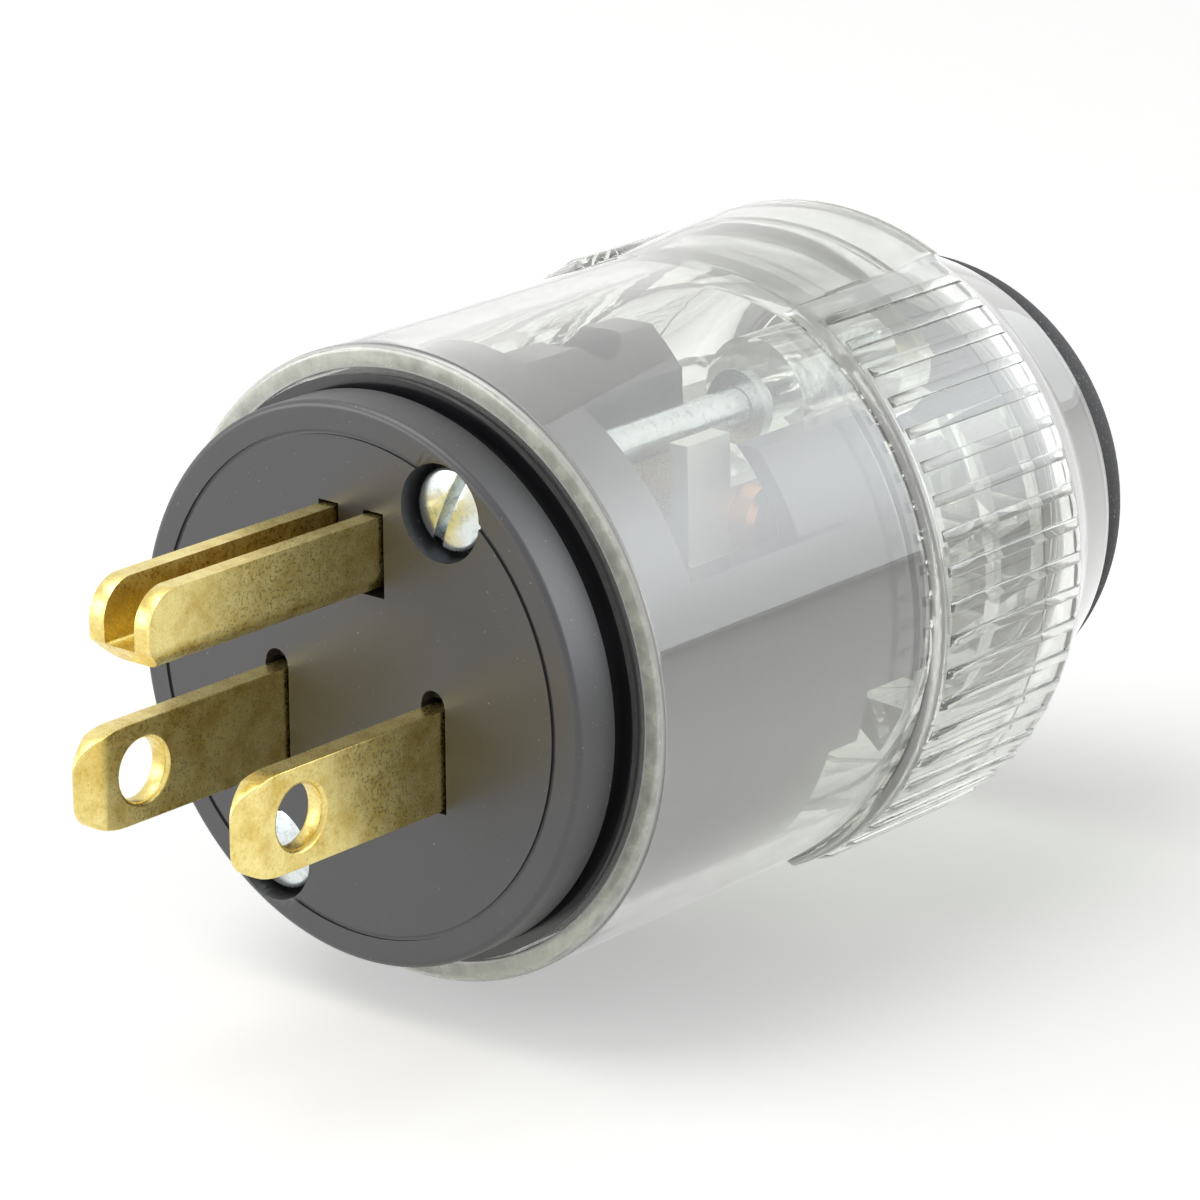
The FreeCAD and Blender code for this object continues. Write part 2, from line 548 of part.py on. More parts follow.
def make_screw(label, head_r, profile):
    """A slotted screw along its own +Y, its head at the origin; profile lists (along, radius)."""
    body = new_body(label)
    section = new_sketch(body, "section", "YZ_Plane")
    draw_outline(section, [("0", "0")] + profile + [("0", f"{head_r} - screw_slot_deep / 2")])
    turn(body, section)
    slot = new_sketch(body, "slot", "XZ_Plane")
    draw_box(slot, "-screw_slot_wide / 2", f"-{head_r} - 1", "screw_slot_wide / 2", f"{head_r} + 1")
    pocket(body, slot, "screw_slot_deep")
    return body


def place(thing, x, y, z, rotation):
    """Puts a piece at three expressions, turned by a rotation."""
    thing.Placement = FreeCAD.Placement(FreeCAD.Vector(value(x), value(y), value(z)), rotation)
    for axis, text in zip("xyz", (x, y, z)):
        bind(thing, f"Placement.Base.{axis}", text)


def make_terminal_screw(label, grip):
    """A pan head terminal screw that passes a grip of plates and ends a little past it."""
    long = f"(terminal_head_high + {grip} + terminal_tail)"
    return make_screw(label, "terminal_head_r", [
        (long, "0"), (long, "terminal_shank_r"), ("terminal_head_high", "terminal_shank_r"),
        ("terminal_head_high", "terminal_head_r"), ("screw_slot_deep / 2", "terminal_head_r")])


def make_side_screw(name):
    """A side terminal screw, driven inwards through its clamp and its blade's tab."""
    side = SIDES[name]
    body = make_terminal_screw(f"{name}_terminal_screw", f"({CLAMP_OUT} - {TAB_FACE} + blade_thick)")
    inwards = FreeCAD.Rotation(FreeCAD.Vector(0, 0, 1), 90 * side)
    place(body, f"{side} * ({CLAMP_OUT} + terminal_head_high)", TERMINAL_BACK, TERMINAL_HIGH, inwards)
    return body


def make_ground_screw():
    """The ground terminal screw, driven down through its clamp and the pin's strip."""
    body = make_terminal_screw("ground_terminal_screw", "(clamp_thick + ground_wall)")
    downwards = FreeCAD.Rotation(FreeCAD.Vector(1, 0, 0), -90)
    place(body, "0", GROUND_SCREW, f"{GROUND_LOW} + ground_wall + clamp_thick + terminal_head_high", downwards)
    return body


def make_assembly_screws():
    """The two long screws that draw the carrier into the housing, one node."""
    plain = f"({SCREW_LONG} - screw_thread_long)"
    screws = []
    for name, side, slot_angle in (("upper", 1, 28), ("lower", -1, -52)):
        screw = make_screw(f"{name}_assembly_screw", "screw_head_r", [
            (SCREW_LONG, "0"), (SCREW_LONG, "screw_thread_r"), (plain, "screw_thread_r"),
            (plain, "screw_shank_r"), ("screw_head_high", "screw_shank_r"),
            ("screw_head_high", "screw_head_r"), ("screw_slot_deep / 2", "screw_head_r")])
        turned = FreeCAD.Rotation(FreeCAD.Vector(0, 1, 0), slot_angle)
        place(screw, f"{side} * {SCREW_X}", "screw_sunk", f"{side} * {SCREW_Z}", turned)
        screws.append(screw)
    group = doc.addObject("Part::Compound", "assembly_screws")
    group.Links = screws
    return group


def make_screw_keepers():
    """The two washers that keep the long screws from falling out of the carrier, one node."""
    washers = []
    for name, side in (("upper", 1), ("lower", -1)):
        body = new_body(f"{name}_keeper")
        ring = new_sketch(body, "ring", "YZ_Plane")
        draw_box(ring, "0", "screw_shank_r + fit_gap", "keeper_thick", "keeper_r")
        turn(body, ring)
        front = f"(screw_sunk + {SCREW_LONG} - screw_thread_long - keeper_thick - fit_gap)"
        place(body, f"{side} * {SCREW_X}", front, f"{side} * {SCREW_Z}", FreeCAD.Rotation())
        washers.append(body)
    group = doc.addObject("Part::Compound", "screw_keepers")
    group.Links = washers
    return group


def make_clear_housing():
    """The clear moulded housing: bored tube, tapered rear, ribbed grip pads and screw bosses."""
    body = new_body("clear_housing")
    tube = new_sketch(body, "tube", "YZ_Plane")
    draw_outline(tube, [
        ("shell_front", BORE_R), ("shoulder_back", BORE_R), ("shoulder_back", THROAT_R),
        ("throat_back", THROAT_END_R), ("throat_back", REAR_BORE_R), ("rear_back", REAR_BORE_R),
        ("rear_back", REAR_R), ("knee_back", f"{SHELL_R} - knee_drop"), ("grip_back", SHELL_R),
        ("shell_front + lip_edge", SHELL_R), ("shell_front", f"{SHELL_R} - lip_edge")])
    turn(body, tube)
    bosses = new_sketch(body, "bosses", "XZ_Plane", "boss_front")
    holes = new_sketch(body, "boss_holes", "XZ_Plane", "boss_front")
    for side in SIDES.values():
        draw_circle(bosses, f"{side} * {SCREW_X}", f"{side} * {SCREW_Z}", "boss_r")
        draw_circle(holes, f"{side} * {SCREW_X}", f"{side} * {SCREW_Z}", "screw_thread_r + fit_gap")
    pad(body, bosses, "screw_thread_long - screw_lead + boss_end", side="against")
    pocket(body, holes, "screw_thread_long - screw_lead + boss_end / 4")
    skin = f"({SHELL_R} - grip_high)"
    pad_r = f"({SHELL_R} + grip_high)"
    for name, side in (("upper", 1), ("lower", -1)):
        panel = new_sketch(body, f"{name}_panel", "YZ_Plane")
        draw_outline(panel, [
            ("panel_front", f"{side} * {skin}"), ("grip_back", f"{side} * {skin}"),
            ("grip_back", f"{side} * ({SHELL_R} + panel_high)"), ("panel_front", f"{side} * {SHELL_R}")])
        turn(body, panel, angle="180 - 2 * grip_half_angle")
    ribs = "(floor((2 * grip_half_angle - rib_angle) / rib_pitch) + 1)"
    for name, side in SIDES.items():
        grip = new_sketch(body, f"{name}_grip", "XY_Plane")
        draw_box(grip, f"{side} * {skin}", "grip_front", f"{side} * {pad_r}", "grip_back")
        turn(body, grip, axis="V_Axis", angle="2 * grip_half_angle")
        for key in ("upper", "lower"):
            lug = new_sketch(body, f"{name}_{key}_key", "XY_Plane")
            swing(lug, f"-key_{key}_angle")
            draw_box(lug, f"{side} * ({BORE_R} - key_high)", "key_front",
                     f"{side} * ({BORE_R} + key_high / 2)", "shoulder_back + key_high")
            turn(body, lug, axis="V_Axis", angle="key_angle")
        rib_sketch = new_sketch(body, f"{name}_rib", "XY_Plane")
        swing(rib_sketch, f"(-({ribs} - 1) * rib_pitch / 2)")
        draw_box(rib_sketch, f"{side} * {skin}", "grip_front", f"{side} * ({pad_r} + rib_high)", "grip_back")
        rib = turn(body, rib_sketch, axis="V_Axis", angle="rib_angle")
        before = body.Shape.Volume
        row = body.newObject("PartDesign::PolarPattern", f"{name}_ribs")
        row.Originals = [rib]
        row.Axis = (origin_part(body, "Y_Axis"), [""])
        bind(row, "Angle", f"({ribs} - 1) * rib_pitch")
        bind(row, "Occurrences", ribs)
        body.Tip = row
        settle(body, before, grows=True)
    return body


def make_cord_jaw(name):
    """A clear cord jaw: its back bears on the housing's throat, its teeth grip the cord."""
    side = SIDES[name]
    body = new_body("right_cord_jaw" if side > 0 else "left_cord_jaw")
    front = "shoulder_back"
    slope = "(throat_taper / (throat_back - shoulder_back))"
    front_r = f"({THROAT_R} - jaw_gap)"
    back_r = f"({front_r} - {slope} * (jaw_back - shoulder_back))"
    pitch = f"((jaw_back - {front}) / {JAW_TEETH})"
    section = [(f"{side} * {front_r}", front), (f"{side} * {back_r}", "jaw_back")]
    for tooth in range(JAW_TEETH, 0, -1):
        section.append((f"{side} * (jaw_in_r + jaw_tooth)", f"{front} + {tooth} * {pitch}"))
        section.append((f"{side} * jaw_in_r", f"{front} + ({tooth} - 0.5) * {pitch}"))
    section.append((f"{side} * (jaw_in_r + jaw_tooth)", front))
    block = new_sketch(body, "block", "XY_Plane")
    draw_outline(block, section)
    turn(body, block, axis="V_Axis", angle="2 * jaw_half_angle")
    floor = f"({back_r} - jaw_pocket_depth)"
    middle = f"(({front} + jaw_back) / 2)"
    pockets = new_sketch(body, "pockets", "YZ_Plane", f"{side} * {floor}")
    for low, high in ((f"{front} + jaw_rib", f"{middle} - jaw_rib / 2"),
                      (f"{middle} + jaw_rib / 2", "jaw_back - jaw_rib")):
        for row in (-1, 0, 1):
            level = f"({row} * (jaw_pocket_high + jaw_rib / 2))"
            draw_box(pockets, low, f"{level} - jaw_pocket_high / 2", high, f"{level} + jaw_pocket_high / 2")
    pocket(body, pockets, side="normal" if side > 0 else "against")
    return body


def make_cord_seal():
    """The black rubber seal that plugs the rear opening round the cord."""
    body = new_body("cord_seal")
    section = new_sketch(body, "section", "YZ_Plane")
    front = "(rear_back - seal_plug_long)"
    back = "(rear_back + seal_high)"
    draw_outline(section, [
        (front, "cord_r"), (back, "cord_r"), (back, "seal_face_r", "seal_dome_r", "left"),
        ("rear_back", f"{REAR_R} - seal_inset"), ("rear_back", f"{REAR_BORE_R} - seal_gap"),
        (front, f"{REAR_BORE_R} - seal_gap")])
    turn(body, section)
    return body


pieces = [make_front_face(), make_contact_carrier(), make_ground_pin()]
pieces += [make_ground_clamp(), make_ground_screw()]
for name in SIDES:
    pieces += [make_blade(name), make_side_clamp(name), make_side_screw(name), make_cord_jaw(name)]
pieces += [make_assembly_screws(), make_screw_keepers(), make_clear_housing(), make_cord_seal()]
doc.recompute()

for thing in doc.Objects:
    if {"Invalid", "Error"} & set(thing.State):
        raise RuntimeError(f"{thing.Name} could not be built")
for piece in pieces:
    if piece.Shape.isNull() or not piece.Shape.isValid():
        raise RuntimeError(f"{piece.Label} has no valid shape")
os.makedirs("parts", exist_ok=True)
for piece in pieces:
    piece.Shape.exportStep(f"parts/{piece.Label}.step")
    print(f"{piece.Label}: {len(piece.Shape.Solids)} solids, {piece.Shape.Volume:.1f} cubic millimetres")
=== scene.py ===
import math

import bmesh
import bpy
from mathutils import Matrix, Vector


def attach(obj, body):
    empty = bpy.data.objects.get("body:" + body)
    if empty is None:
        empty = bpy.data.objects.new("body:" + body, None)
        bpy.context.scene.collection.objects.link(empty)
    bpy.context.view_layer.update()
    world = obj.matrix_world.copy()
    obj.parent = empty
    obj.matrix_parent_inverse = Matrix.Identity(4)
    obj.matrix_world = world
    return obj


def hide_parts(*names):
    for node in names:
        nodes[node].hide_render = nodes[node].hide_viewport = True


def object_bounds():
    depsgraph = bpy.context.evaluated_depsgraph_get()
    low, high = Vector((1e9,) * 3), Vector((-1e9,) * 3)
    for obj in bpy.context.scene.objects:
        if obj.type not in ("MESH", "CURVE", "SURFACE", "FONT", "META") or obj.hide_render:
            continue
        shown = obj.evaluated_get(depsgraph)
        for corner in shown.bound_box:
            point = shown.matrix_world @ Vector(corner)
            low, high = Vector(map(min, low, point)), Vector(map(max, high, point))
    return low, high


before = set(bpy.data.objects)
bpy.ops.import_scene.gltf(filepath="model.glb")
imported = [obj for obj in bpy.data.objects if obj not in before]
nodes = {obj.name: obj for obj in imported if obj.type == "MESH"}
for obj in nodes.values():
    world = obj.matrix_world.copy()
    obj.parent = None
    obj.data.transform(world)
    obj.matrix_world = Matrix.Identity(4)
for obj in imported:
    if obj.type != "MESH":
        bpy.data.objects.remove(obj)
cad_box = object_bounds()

# Black face: the round front plate that carries the blades, moulded in black nylon.
# It is a cylinder with a set-in neck, an engraved ring, slots for the blades and two screw wells.
# Sizes are in millimetres, and the middle of the face is the origin.
MM = 0.001
NEAR = 0.01
FACE_R = 17.7
RIM_DEPTH = 3.3
FACE_DEPTH = 4.1
NECK_STEP = 0.8
RIM_ROUND = 0.45
RING_R = 15.92
RING_WIDE = 0.3
RING_DEEP = 0.2
BEFORE_FACE = -1
BEHIND_FACE = 6
SCREW_PLACES = ((7.1, 12.298), (-7.1, -12.298))
WELL_R = 3.05
WELL_DEPTH = 2.6
SCREW_HOLE_R = 1.67
BLADE_SIDE = 6.35
SLOT_HALF = 0.95
SLOT_LOW = -6.525
SLOT_HIGH = 0.225
SLOT_EYE_R = 0.9
SLOT_EYE_DEPTH = 1.2
PIN_SLOT_HALF = 2.6
PIN_SLOT_INNER = 1.0
PIN_SLOT_LOW = 6.09
PIN_SLOT_FLOOR = 7.69
PIN_LEG_LOW = 7.0
PIN_SLOT_HIGH = 11.39


def start_piece(name):
    """Names the primitive just added and puts its turn and size into its mesh."""
    piece = bpy.context.object
    piece.name = name
    piece.data.name = name
    bpy.ops.object.transform_apply(location=True, rotation=True, scale=True)
    return piece


def clear_choice():
    """Deselects every object before the next primitive or operator."""
    bpy.ops.object.select_all(action="DESELECT")


def pick(piece):
    """Makes one piece the only selected and active one."""
    clear_choice()
    piece.select_set(True)
    bpy.context.view_layer.objects.active = piece


def edit(piece):
    """Opens one piece in edit mode with nothing else selected."""
    pick(piece)
    bpy.ops.object.mode_set(mode="EDIT")


def close():
    """Leaves edit mode with the piece still selected and active."""
    bpy.ops.object.mode_set(mode="OBJECT")


def choose(piece, kind, test):
    """Selects the vertices, edges or faces whose middle, in millimetres, passes the test."""
    bpy.ops.mesh.select_mode(type=kind)
    bpy.ops.mesh.select_all(action="DESELECT")
    mesh = bmesh.from_edit_mesh(piece.data)
    for part in {"VERT": mesh.verts, "EDGE": mesh.edges, "FACE": mesh.faces}[kind]:
        if kind == "VERT":
            middle = part.co
        elif kind == "EDGE":
            middle = (part.verts[0].co + part.verts[1].co) / 2
        else:
            middle = part.calc_center_median()
        part.select_set(bool(test(part, middle / MM)))
    mesh.select_flush_mode()
    bmesh.update_edit_mesh(piece.data)


def pull(x, y, z):
    """Extrudes what is selected by a distance in millimetres."""
    bpy.ops.mesh.extrude_region_move(TRANSFORM_OT_translate={"value": (x * MM, y * MM, z * MM)})


def radius(place):
    """Distance of a place from the plug's axis."""
    return math.hypot(place.x, place.z)


def combine(piece, tool, operation):
    """Cuts a tool out of a piece, or joins it on, and removes the tool."""
    pick(piece)
    change = piece.modifiers.new("combine", "BOOLEAN")
    change.operation = operation
    change.solver = "EXACT"
    change.object = tool
    bpy.ops.object.modifier_apply(modifier=change.name)
    bpy.data.objects.remove(tool, do_unlink=True)


def rod(x, front, back, z, thick_r, corners):
    """A round bar along the plug's axis, for cutting, joining or as the start of a piece."""
    clear_choice()
    bpy.ops.mesh.primitive_cylinder_add(
        vertices=corners, radius=thick_r * MM, depth=(back - front) * MM,
        location=(x * MM, (front + back) / 2 * MM, z * MM), rotation=(math.pi / 2, 0, 0))
    return start_piece("round_bar")


def block(low, high):
    """A square bar between two corners, for cutting or as the start of a piece."""
    clear_choice()
    middle = [(a + b) / 2 * MM for a, b in zip(low, high)]
    bpy.ops.mesh.primitive_cube_add(size=1, location=middle)
    bpy.context.object.scale = [(b - a) * MM for a, b in zip(low, high)]
    return start_piece("square_bar")


def soften(piece, angle, width=0, segments=0):
    """Rounds every edge sharper than the angle, if a width is given, and shades up to it."""
    pick(piece)
    if width:
        rounding = piece.modifiers.new("rounding", "BEVEL")
        rounding.width = width * MM
        rounding.segments = segments
        rounding.limit_method = "ANGLE"
        rounding.angle_limit = math.radians(angle)
        bpy.ops.object.modifier_apply(modifier=rounding.name)
    bpy.ops.object.shade_smooth_by_angle(angle=math.radians(angle))
    even = piece.modifiers.new("even shade", "WEIGHTED_NORMAL")
    even.keep_sharp = True
    even.weight = 100
    bpy.ops.object.modifier_apply(modifier=even.name)


clear_choice()
bpy.ops.mesh.primitive_cylinder_add(
    vertices=192, radius=FACE_R * MM, depth=RIM_DEPTH * MM,
    location=(0, RIM_DEPTH / 2 * MM, 0), rotation=(math.pi / 2, 0, 0))
face = start_piece("black_face")
edit(face)
choose(face, "FACE", lambda part, at: at.y > RIM_DEPTH - NEAR and radius(at) < 1)
bpy.ops.mesh.inset(thickness=NECK_STEP * MM)
pull(0, FACE_DEPTH - RIM_DEPTH, 0)
choose(face, "EDGE", lambda part, at: abs(at.y) < NEAR and radius(at) > FACE_R - 0.1)
bpy.ops.mesh.bevel(offset=RIM_ROUND * MM, segments=5, affect="EDGES")
choose(face, "FACE", lambda part, at: at.y < NEAR and radius(at) < 1)
bpy.ops.mesh.inset(thickness=(FACE_R - RIM_ROUND - RING_R) * MM)
bpy.ops.mesh.inset(thickness=RING_WIDE * MM)
choose(face, "FACE", lambda part, at: at.y < NEAR and RING_R - RING_WIDE < radius(at) < RING_R)
pull(0, RING_DEEP, 0)
close()
for x, z in SCREW_PLACES:
    combine(face, rod(x, BEFORE_FACE, WELL_DEPTH, z, WELL_R, 64), "DIFFERENCE")
    combine(face, rod(x, 1, BEHIND_FACE, z, SCREW_HOLE_R, 48), "DIFFERENCE")
for middle in (BLADE_SIDE, -BLADE_SIDE):
    combine(face, block((middle - SLOT_HALF, BEFORE_FACE, SLOT_LOW),
                        (middle + SLOT_HALF, BEHIND_FACE, SLOT_HIGH)), "DIFFERENCE")
    combine(face, rod(middle, BEFORE_FACE, SLOT_EYE_DEPTH, SLOT_HIGH, SLOT_EYE_R, 40), "DIFFERENCE")
combine(face, block((-PIN_SLOT_HALF, BEFORE_FACE, PIN_SLOT_LOW),
                    (PIN_SLOT_HALF, BEHIND_FACE, PIN_SLOT_FLOOR)), "DIFFERENCE")
for side in (1, -1):
    low, high = sorted((side * PIN_SLOT_INNER, side * PIN_SLOT_HALF))
    combine(face, block((low, BEFORE_FACE, PIN_LEG_LOW),
                        (high, BEHIND_FACE, PIN_SLOT_HIGH)), "DIFFERENCE")
soften(face, 30, width=0.12, segments=2)


def linear(code):
    """Turns an sRGB hex colour into the linear values that a shader takes."""
    parts = [int(code[i:i + 2], 16) / 255 for i in (1, 3, 5)]
    return [c / 12.92 if c <= 0.04045 else ((c + 0.055) / 1.055) ** 2.4 for c in parts] + [1.0]


def add(owner, kind, sockets=None, links=None, **settings):
    """Adds a node with its settings, its socket values and its links from earlier nodes."""
    tree = owner.node_tree
    node = tree.nodes.new("ShaderNode" + kind)
    for name, value in settings.items():
        setattr(node, name, value)
    for name, value in (sockets or {}).items():
        node.inputs[name].default_value = value
    for name, (source, output) in (links or {}).items():
        tree.links.new(source.outputs[output], node.inputs[name])
    return node


def new_material(name):
    """An empty material, with a first node that gives a place in Object coordinates."""
    material = bpy.data.materials.new(name)
    material.use_nodes = True
    material.node_tree.nodes.clear()
    return material, add(material, "TexCoord")


def per_mm(size):
    """The texture scale at which a pattern's cells are that many millimetres wide."""
    return 1000 / size


def surface(material, shader, volume=None):
    """Joins the finished shader, and what fills the wall, to the material's output."""
    end = add(material, "OutputMaterial", links={"Surface": (shader, 0)})
    if volume:
        material.node_tree.links.new(volume.outputs[0], end.inputs["Volume"])


def coat(piece, material):
    """Gives a piece one material in all its slots."""
    if not piece.material_slots:
        piece.data.materials.append(material)
    for slot in piece.material_slots:
        slot.material = material


# Moulded black nylon: a dark satin skin with a faint cloud in its tone, a fine eroded grain
# and a few specks of dust. The grain is really about 0.03 mm and is drawn at 0.09 mm to show.
nylon, spot = new_material("black moulded nylon")
cloud = add(nylon, "TexNoise", {"Scale": per_mm(4.0), "Detail": 4.0}, {"Vector": (spot, "Object")})
grain = add(nylon, "TexNoise", {"Scale": per_mm(0.09), "Detail": 2.0}, {"Vector": (spot, "Object")})
dust = add(nylon, "TexNoise", {"Scale": per_mm(0.28), "Detail": 1.0}, {"Vector": (spot, "Object")})
specks = add(nylon, "MapRange", {"From Min": 0.735, "From Max": 0.79, "To Max": 0.5},
             {"Value": (dust, "Fac")})
tone = add(nylon, "MixRGB", {"Color1": linear("#303033"), "Color2": linear("#3d3d41")},
           {"Fac": (cloud, "Fac")})
dusted = add(nylon, "MixRGB", {"Color2": linear("#a5a29b")},
             {"Fac": (specks, "Result"), "Color1": (tone, "Color")})
shine = add(nylon, "MapRange", {"To Min": 0.32, "To Max": 0.45}, {"Value": (grain, "Fac")})
bumps = add(nylon, "Bump", {"Strength": 0.22, "Distance": 0.02 * MM}, {"Height": (grain, "Fac")})
skin = add(nylon, "BsdfPrincipled", {"IOR": 1.53, "Specular IOR Level": 0.9}, {
    "Base Color": (dusted, "Color"), "Roughness": (shine, "Result"), "Normal": (bumps, "Normal")})
surface(nylon, skin)
coat(face, nylon)
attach(face, "root")
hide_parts("front_face")

# Blades: two flat strips stamped from brass sheet, with rounded and bevelled tips and a detent
# hole. Each passes its slot in the face and ends behind it in an upright tab for the wire.
# A tip is first rounded to a quarter circle and then drawn out along the blade.
BLADE_TIP = -17.6
BLADE_BACK = 26.2
BLADE_LOW = -6.325
BLADE_HIGH = 0.025
BLADE_MID = (BLADE_LOW + BLADE_HIGH) / 2
BLADE_HALF = 0.75
TIP_LONG = 3.6
TIP_HIGH = 2.2
BLUNT_TIP = BLADE_TIP + TIP_LONG - TIP_HIGH
LEAD_LONG = 1.8
LEAD_DEEP = 0.36
TAB_FRONT = 17.2
TAB_HIGH = 10.376
HOLE_Y = -12.4
HOLE_R = 1.98
HOLE_BEVEL = 0.28
TAB_HOLE_Y = 23.7
TAB_HOLE_Z = 6.976
TERMINAL_HOLE_R = 1.55
blades = []
for name, side in (("line", 1), ("neutral", -1)):
    middle = side * BLADE_SIDE
    blade = block((middle - BLADE_HALF, BLUNT_TIP, BLADE_LOW),
                  (middle + BLADE_HALF, BLADE_BACK, BLADE_HIGH))
    blade.name = f"{name}_brass_blade"
    edit(blade)
    choose(blade, "EDGE", lambda part, at: at.y < BLUNT_TIP + NEAR
           and min(abs(at.z - BLADE_LOW), abs(at.z - BLADE_HIGH)) < NEAR)
    bpy.ops.mesh.bevel(offset=TIP_HIGH * MM, segments=14, affect="EDGES")
    choose(blade, "VERT", lambda part, at: at.y < BLUNT_TIP + TIP_HIGH + NEAR)
    bpy.ops.transform.resize(value=(1, TIP_LONG / TIP_HIGH, 1),
                             center_override=(0, (BLUNT_TIP + TIP_HIGH) * MM, 0))
    for lead in (1, -1):
        bpy.ops.mesh.select_all(action="SELECT")
        bpy.ops.mesh.bisect(
            plane_co=((middle + lead * BLADE_HALF) * MM, (BLADE_TIP + LEAD_LONG) * MM, 0),
            plane_no=(lead * LEAD_LONG, -LEAD_DEEP, 0), use_fill=True, clear_outer=True)
    bpy.ops.mesh.select_all(action="SELECT")
    bpy.ops.mesh.bisect(plane_co=(0, TAB_FRONT * MM, 0), plane_no=(0, 1, 0))
    choose(blade, "FACE", lambda part, at: at.z > BLADE_HIGH - NEAR and at.y > TAB_FRONT)
    pull(0, 0, TAB_HIGH - BLADE_HIGH)
    close()
    for y, z, hole_r in ((HOLE_Y, BLADE_MID, HOLE_R), (TAB_HOLE_Y, TAB_HOLE_Z, TERMINAL_HOLE_R)):
        clear_choice()
        bpy.ops.mesh.primitive_cylinder_add(
            vertices=72, radius=hole_r * MM, depth=4 * MM,
            location=(middle * MM, y * MM, z * MM), rotation=(0, math.pi / 2, 0))
        combine(blade, start_piece("hole_punch"), "DIFFERENCE")
    edit(blade)
    choose(blade, "EDGE", lambda part, at: abs(at.x - middle) > BLADE_HALF - 0.05
           and abs(math.hypot(at.y - HOLE_Y, at.z - BLADE_MID) - HOLE_R) < 0.02)
    bpy.ops.mesh.bevel(offset=HOLE_BEVEL * MM, segments=2, affect="EDGES")
    close()
    soften(blade, 40, width=0.13, segments=2)
    blades.append(blade)

# Rolled brass: a warm yellow metal with fine lines along the strip from the rolls, smears of
# dull tarnish and dark specks where the press touched it. The lines are drawn at 0.12 mm to show.
brass, spot = new_material("rolled brass")
drawn = add(brass, "Mapping", {"Scale": (1.0, 0.035, 1.0)}, {"Vector": (spot, "Object")})
lines = add(brass, "TexNoise", {"Scale": per_mm(0.12), "Detail": 2.0},
            {"Vector": (drawn, "Vector")})
smear = add(brass, "TexNoise", {"Scale": per_mm(1.7), "Detail": 5.0, "Roughness": 0.62},
            {"Vector": (spot, "Object")})
pits = add(brass, "TexNoise", {"Scale": per_mm(0.22), "Detail": 3.0, "Roughness": 0.6},
           {"Vector": (spot, "Object")})
dull = add(brass, "MapRange", {"From Min": 0.42, "From Max": 0.68}, {"Value": (smear, "Fac")})
dark = add(brass, "MapRange", {"From Min": 0.52, "From Max": 0.74, "To Max": 0.3},
           {"Value": (pits, "Fac")})
warm = add(brass, "MixRGB", {"Color1": linear("#f2e195"), "Color2": linear("#d8bd68")},
           {"Fac": (dull, "Result")})
worn = add(brass, "MixRGB", {"Color2": linear("#7d6636")},
           {"Fac": (dark, "Result"), "Color1": (warm, "Color")})
shine = add(brass, "MapRange", {"From Min": 0.38, "From Max": 0.68, "To Min": 0.25, "To Max": 0.44},
            {"Value": (pits, "Fac")})
scores = add(brass, "Bump", {"Strength": 0.30, "Distance": 0.006 * MM}, {"Height": (lines, "Fac")})
skin = add(brass, "BsdfPrincipled", {"Metallic": 1.0}, {
    "Base Color": (worn, "Color"), "Roughness": (shine, "Result"), "Normal": (scores, "Normal")})
surface(brass, skin)
for blade, node in zip(blades, ("line_blade", "neutral_blade")):
    coat(blade, brass)
    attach(blade, "root")
    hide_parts(node)

# Ground pin: brass sheet folded to a channel that is open on top. Its tip slopes above and below,
# with the upper corners rounded over.
# Behind the face the sheet goes on as a flat strip for the ground wire's clamp.
PIN_TIP = -19.7
PIN_BACK = 25
PIN_LOW = 6.29
PIN_HIGH = 11.19
PIN_HALF = 2.4
CHANNEL_BACK = 16.0
SHEET = 1.2
FOLD_R = 1.5
TIP_CUT = 1.4
TIP_ROUND = 0.85
STRIP_HOLE_Y = 20.9


def in_channel_side(at):
    """Whether a place lies on the left or right edge of the sheet, along the channel."""
    return abs(at.x) > PIN_HALF - NEAR and at.y < CHANNEL_BACK - 0.1


def tip_corner(edge, at):
    """Whether an edge runs across the sheet at the corners where the tip's upper slope ends."""
    across = abs(edge.verts[0].co.x - edge.verts[1].co.x) > 0.9 * MM
    upper_tip = at.y < PIN_TIP + 1.6 and at.z > PIN_HIGH - 2.5
    return (upper_tip and across and len(edge.link_faces) == 2
            and 0.5 < edge.calc_face_angle() < 1.1)


clear_choice()
bpy.ops.mesh.primitive_plane_add(
    size=1, location=(0, (PIN_TIP + PIN_BACK) / 2 * MM, PIN_LOW * MM))
bpy.context.object.scale = (2 * PIN_HALF * MM, (PIN_BACK - PIN_TIP) * MM, 1)
pin = start_piece("folded_ground_pin")
edit(pin)
bpy.ops.mesh.select_all(action="SELECT")
bpy.ops.mesh.bisect(plane_co=(0, CHANNEL_BACK * MM, 0), plane_no=(0, 1, 0))
choose(pin, "EDGE", lambda part, at: in_channel_side(at))
pull(0, 0, PIN_HIGH - PIN_LOW)
choose(pin, "EDGE", lambda part, at: in_channel_side(at) and abs(at.z - PIN_LOW) < NEAR)
bpy.ops.mesh.bevel(offset=FOLD_R * MM, segments=8, affect="EDGES")
bpy.ops.mesh.select_all(action="SELECT")
bpy.ops.mesh.normals_make_consistent(inside=False)
close()
sheet = pin.modifiers.new("sheet", "SOLIDIFY")
sheet.thickness = SHEET * MM
sheet.offset = 1.0
sheet.use_even_offset = True
bpy.ops.object.modifier_apply(modifier=sheet.name)
for level, slope in ((PIN_HIGH - TIP_CUT, 1), (PIN_LOW + TIP_CUT, -1)):
    edit(pin)
    bpy.ops.mesh.select_all(action="SELECT")
    bpy.ops.mesh.bisect(plane_co=(0, PIN_TIP * MM, level * MM), plane_no=(0, -1, slope),
                        use_fill=True, clear_outer=True)
    close()
edit(pin)
choose(pin, "EDGE", tip_corner)
